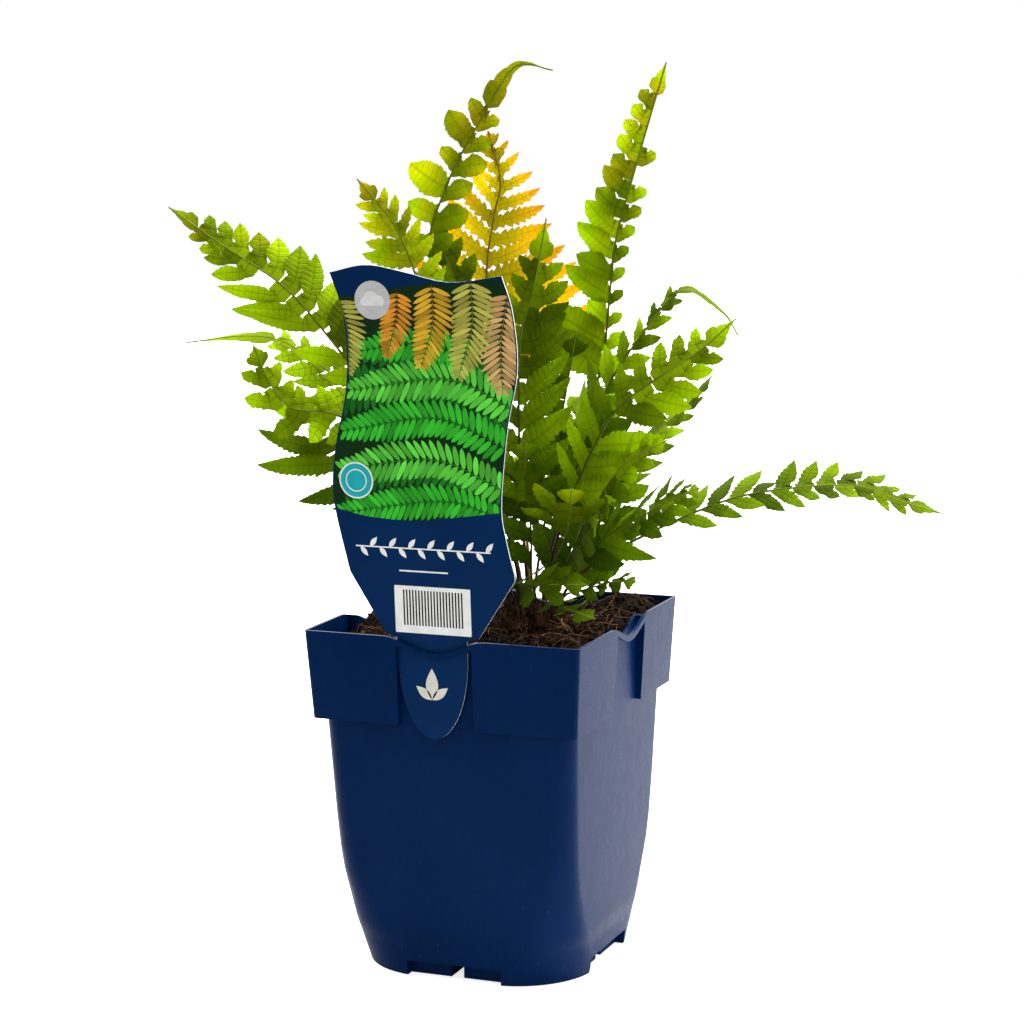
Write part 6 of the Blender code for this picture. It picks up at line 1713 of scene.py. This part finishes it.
def light_world():
    """A white world, brighter behind and above than in front, which the camera sees as plain white."""
    world = bpy.data.worlds.new("studio")
    bpy.context.scene.world = world
    world.use_nodes = True
    nodes = Nodes(world.node_tree)
    way = nodes.put("ShaderNodeTexCoord").outputs["Generated"]
    behind = nodes.spread(nodes.axis(way, "Y"), *WORLD_TURN, WORLD_FRONT, WORLD_BEHIND)
    above = nodes.spread(nodes.axis(way, "Z"), *WORLD_TOP, 0.0, WORLD_ABOVE)
    seen = nodes.put("ShaderNodeLightPath").outputs["Is Camera Ray"]
    levels = {0: seen, 2: nodes.sum("MAXIMUM", behind, above), 3: 1.0}
    level = nodes.put("ShaderNodeMix", levels, data_type="FLOAT").outputs[0]
    nodes.feed(world.node_tree.nodes["Background"], {"Color": WHITE, "Strength": level})


def lay_floor():
    """A white floor that reflects little in front of the pot, and glows for the camera alone."""
    floor = Finish("studio_floor")
    near = floor.spread(floor.axis(floor.place, "Y"), *FLOOR_FADE, 1.0, 0.0)
    direct = floor.put("ShaderNodeLightPath").outputs["Is Camera Ray"]
    glow = floor.times(direct, floor.spread(near, 0.0, 1.0, *FLOOR_GLOW))
    floor.feed(floor.shader, {"Emission Color": WHITE, "Emission Strength": glow})
    finish = floor.surface(floor.mix(near, floor.mix(floor.clouds, *FLOOR_WHITES), FLOOR_NEAR))
    corners = np.array(((-1, -1), (1, -1), (1, 1), (-1, 1))) * FLOOR_HALF
    sheet = np.column_stack((corners, np.full(4, -FLOOR_GAP)))
    return add_mesh("floor", sheet, [np.array([(0, 1, 2, 3)])], (finish,))


def look_from(place, target, roll):
    """A matrix at a place in metres, looking along -Z at the target, with its sides turned by the roll."""
    back = unit(np.array(place, float) - np.array(target, float))
    right = unit(np.cross((0.0, 0.0, 1.0), back))
    up = np.cross(back, right)
    turned = right * math.cos(roll) + up * math.sin(roll), up * math.cos(roll) - right * math.sin(roll)
    matrix = np.eye(4)
    matrix[:3, :4] = np.stack((*turned, back, np.array(place, float)), -1)
    return Matrix(matrix.tolist())


def hang_light():
    """One soft round light above and behind the pot."""
    light = bpy.data.lights.new("soft_light", "AREA")
    light.shape, light.size, light.energy = "DISK", LIGHT_SIZE, LIGHT_POWER
    lamp = bpy.data.objects.new("soft_light", light)
    lamp.matrix_world = look_from(LIGHT_PLACE, LIGHT_AIM, 0.0)
    bpy.context.scene.collection.objects.link(lamp)
    return lamp


def set_camera():
    """The camera, in front of the pot and to its right."""
    optics = bpy.data.cameras.new("camera")
    optics.sensor_width, optics.lens = CAMERA_SENSOR, CAMERA_LENS
    camera = bpy.data.objects.new("camera", optics)
    yaw, pitch = math.radians(CAMERA_YAW), math.radians(CAMERA_PITCH)
    ahead = np.array((-math.sin(yaw) * math.cos(pitch), math.cos(yaw) * math.cos(pitch), -math.sin(pitch)))
    camera.matrix_world = look_from(CAMERA_PLACE, np.array(CAMERA_PLACE) + ahead, math.radians(CAMERA_ROLL))
    bpy.context.scene.collection.objects.link(camera)
    bpy.context.scene.camera = camera
    bpy.context.scene.view_settings.view_transform = "Standard"


# -------- add-on


def colour_property(name, description, default):
    """A colour that a user can change."""
    return FloatVectorProperty(name=name, description=description, default=default, subtype="COLOR", size=3,
                               min=0.0, max=1.0)


class FernLooks(bpy.types.PropertyGroup):
    """Colours and sizes of the fern's finer pieces."""

    leaf_deep: colour_property("Deep green", "Shaded green of the leaves", (0.04, 0.12, 0.001))
    leaf_fresh: colour_property("Fresh green", "Light green of the leaves", (0.43, 0.59, 0.003))
    leaf_gold: colour_property("Gold", "Leaves that have started to turn", (0.74, 0.67, 0.013))
    leaf_copper: colour_property("Copper", "Tips of the leaves that have turned", (0.86, 0.33, 0.015))
    stipe_brown: colour_property("Stipe brown", "Foot of the stipes", (0.05, 0.026, 0.012))
    stipe_green: colour_property("Stipe green", "Upper stipes", (0.08, 0.11, 0.006))
    stipe_pale: colour_property("Rachis green", "Rachises near the fronds' tips", (0.2, 0.27, 0.015))
    rhizome_dark: colour_property("Scale brown", "Darkest scales", (0.01, 0.005, 0.0025))
    rhizome_rust: colour_property("Scale rust", "Lightest scales", (0.04, 0.018, 0.008))
    peat_dark: colour_property("Peat black", "Moist peat", (0.004, 0.0026, 0.0018))
    peat_brown: colour_property("Peat brown", "Drier peat", (0.013, 0.007, 0.004))
    pot_blue: colour_property("Pot blue", "The pot's plastic", (0.0002, 0.0125, 0.062))
    pot_worn: colour_property("Pot sheen", "The pot's plastic where it is clouded", (0.0008, 0.017, 0.078))
    tag_blue: colour_property("Tag blue", "The tag's ground", (0.0002, 0.019, 0.082))
    badge: colour_property("Badge", "The small round badge", (0.02, 0.44, 0.48))
    edge_width: FloatProperty(name="Edge rounding", description="How far the pot's edges are rounded",
                              unit="LENGTH", default=EDGE_ROUNDING * MM, min=0.0, max=0.001)
    first_seed: IntProperty(name="Seed", description="Start of the random draws for the leaves",
                            default=SEED, min=0)


def looks():
    """The scene's colours and sizes."""
    return bpy.context.scene.fern_looks


class FERN_OT_pot(bpy.types.Operator):
    """Mould the square pot in place of its solid"""

    bl_idname = "fern.pot"
    bl_label = "Pot"

    def execute(self, context):
        dress(mould_pot(plastic_finish(looks()), looks().edge_width), "pot_shell", "pot")
        return {"FINISHED"}


class FERN_OT_peat(bpy.types.Operator):
    """Fill the pot with peat, crumbs and root fibres"""

    bl_idname = "fern.peat"
    bl_label = "Peat"

    def execute(self, context):
        dress(heap_peat(peat_finish(looks(), "peat", 0.0)), "peat", "soil")
        dress(scatter_peat(peat_finish(looks(), "peat_grains", PEAT_PALENESS)), "peat")
        dress(lay_roots(fibre_finish()), "peat")
        return {"FINISHED"}


class FERN_OT_rhizome(bpy.types.Operator):
    """Grow the scaly rhizome, and the scales up the stipes"""

    bl_idname = "fern.rhizome"
    bl_label = "Rhizome"

    def execute(self, context):
        finish = rhizome_finish(looks())
        dress(swell_rhizome(finish), "rhizome", "crown")
        dress(clothe_stipes([Frond(name, plan) for name, plan in FRONDS.items()], finish), "rhizome")
        return {"FINISHED"}


class FERN_OT_fronds(bpy.types.Operator):
    """Grow every frond in place of its solid"""

    bl_idname = "fern.fronds"
    bl_label = "Fronds"

    def execute(self, context):
        leaf, stipe = leaf_finish(looks()), stipe_finish(looks())
        for index, (name, plan) in enumerate(FRONDS.items()):
            piece = grow_frond(name, plan, looks().first_seed + 100 + index, leaf, stipe)
            tone = plan["tone"]
            dress(piece, "leaf_green" if tone < 0.25 else "leaf_light" if tone < 0.7 else "leaf_copper", name)
        return {"FINISHED"}


class FERN_OT_tag(bpy.types.Operator):
    """Cut the plant tag and print it"""

    bl_idname = "fern.tag"
    bl_label = "Tag"

    def execute(self, context):
        dress(cut_tag(tag_finish(looks()), core_finish()), "label_print", "label")
        pile = Pile()
        print_tag(pile, looks())
        dress(pile.make("tag_print", (ink_finish(),), sharp=SHARP), "label_print")
        return {"FINISHED"}


class FERN_OT_studio(bpy.types.Operator):
    """Set up the world, the floor, the light and the camera"""

    bl_idname = "fern.studio"
    bl_label = "Studio"

    def execute(self, context):
        light_world()
        lay_floor()
        hang_light()
        set_camera()
        return {"FINISHED"}


STEPS = (FERN_OT_pot, FERN_OT_peat, FERN_OT_rhizome, FERN_OT_fronds, FERN_OT_tag, FERN_OT_studio)


class FERN_PT_panel(bpy.types.Panel):
    """Lists the fern's pieces, colours and sizes"""

    bl_idname = "FERN_PT_panel"
    bl_label = "Potted fern"
    bl_space_type = "VIEW_3D"
    bl_region_type = "UI"
    bl_category = "Fern"

    def draw(self, context):
        for step in STEPS:
            self.layout.operator(step.bl_idname)
        for name in FernLooks.__annotations__:
            self.layout.prop(context.scene.fern_looks, name)


CLASSES = (FernLooks, *STEPS, FERN_PT_panel)


def register():
    """Make the classes known to Blender."""
    for kind in CLASSES:
        bpy.utils.register_class(kind)
    bpy.types.Scene.fern_looks = PointerProperty(type=FernLooks)


def unregister():
    """Take the classes out again."""
    del bpy.types.Scene.fern_looks
    for kind in reversed(CLASSES):
        bpy.utils.unregister_class(kind)


def main():
    """Build every piece in order."""
    register()
    for step in STEPS:
        group, name = step.bl_idname.split(".")
        getattr(getattr(bpy.ops, group), name)()


if __name__ == "__main__":
    main()
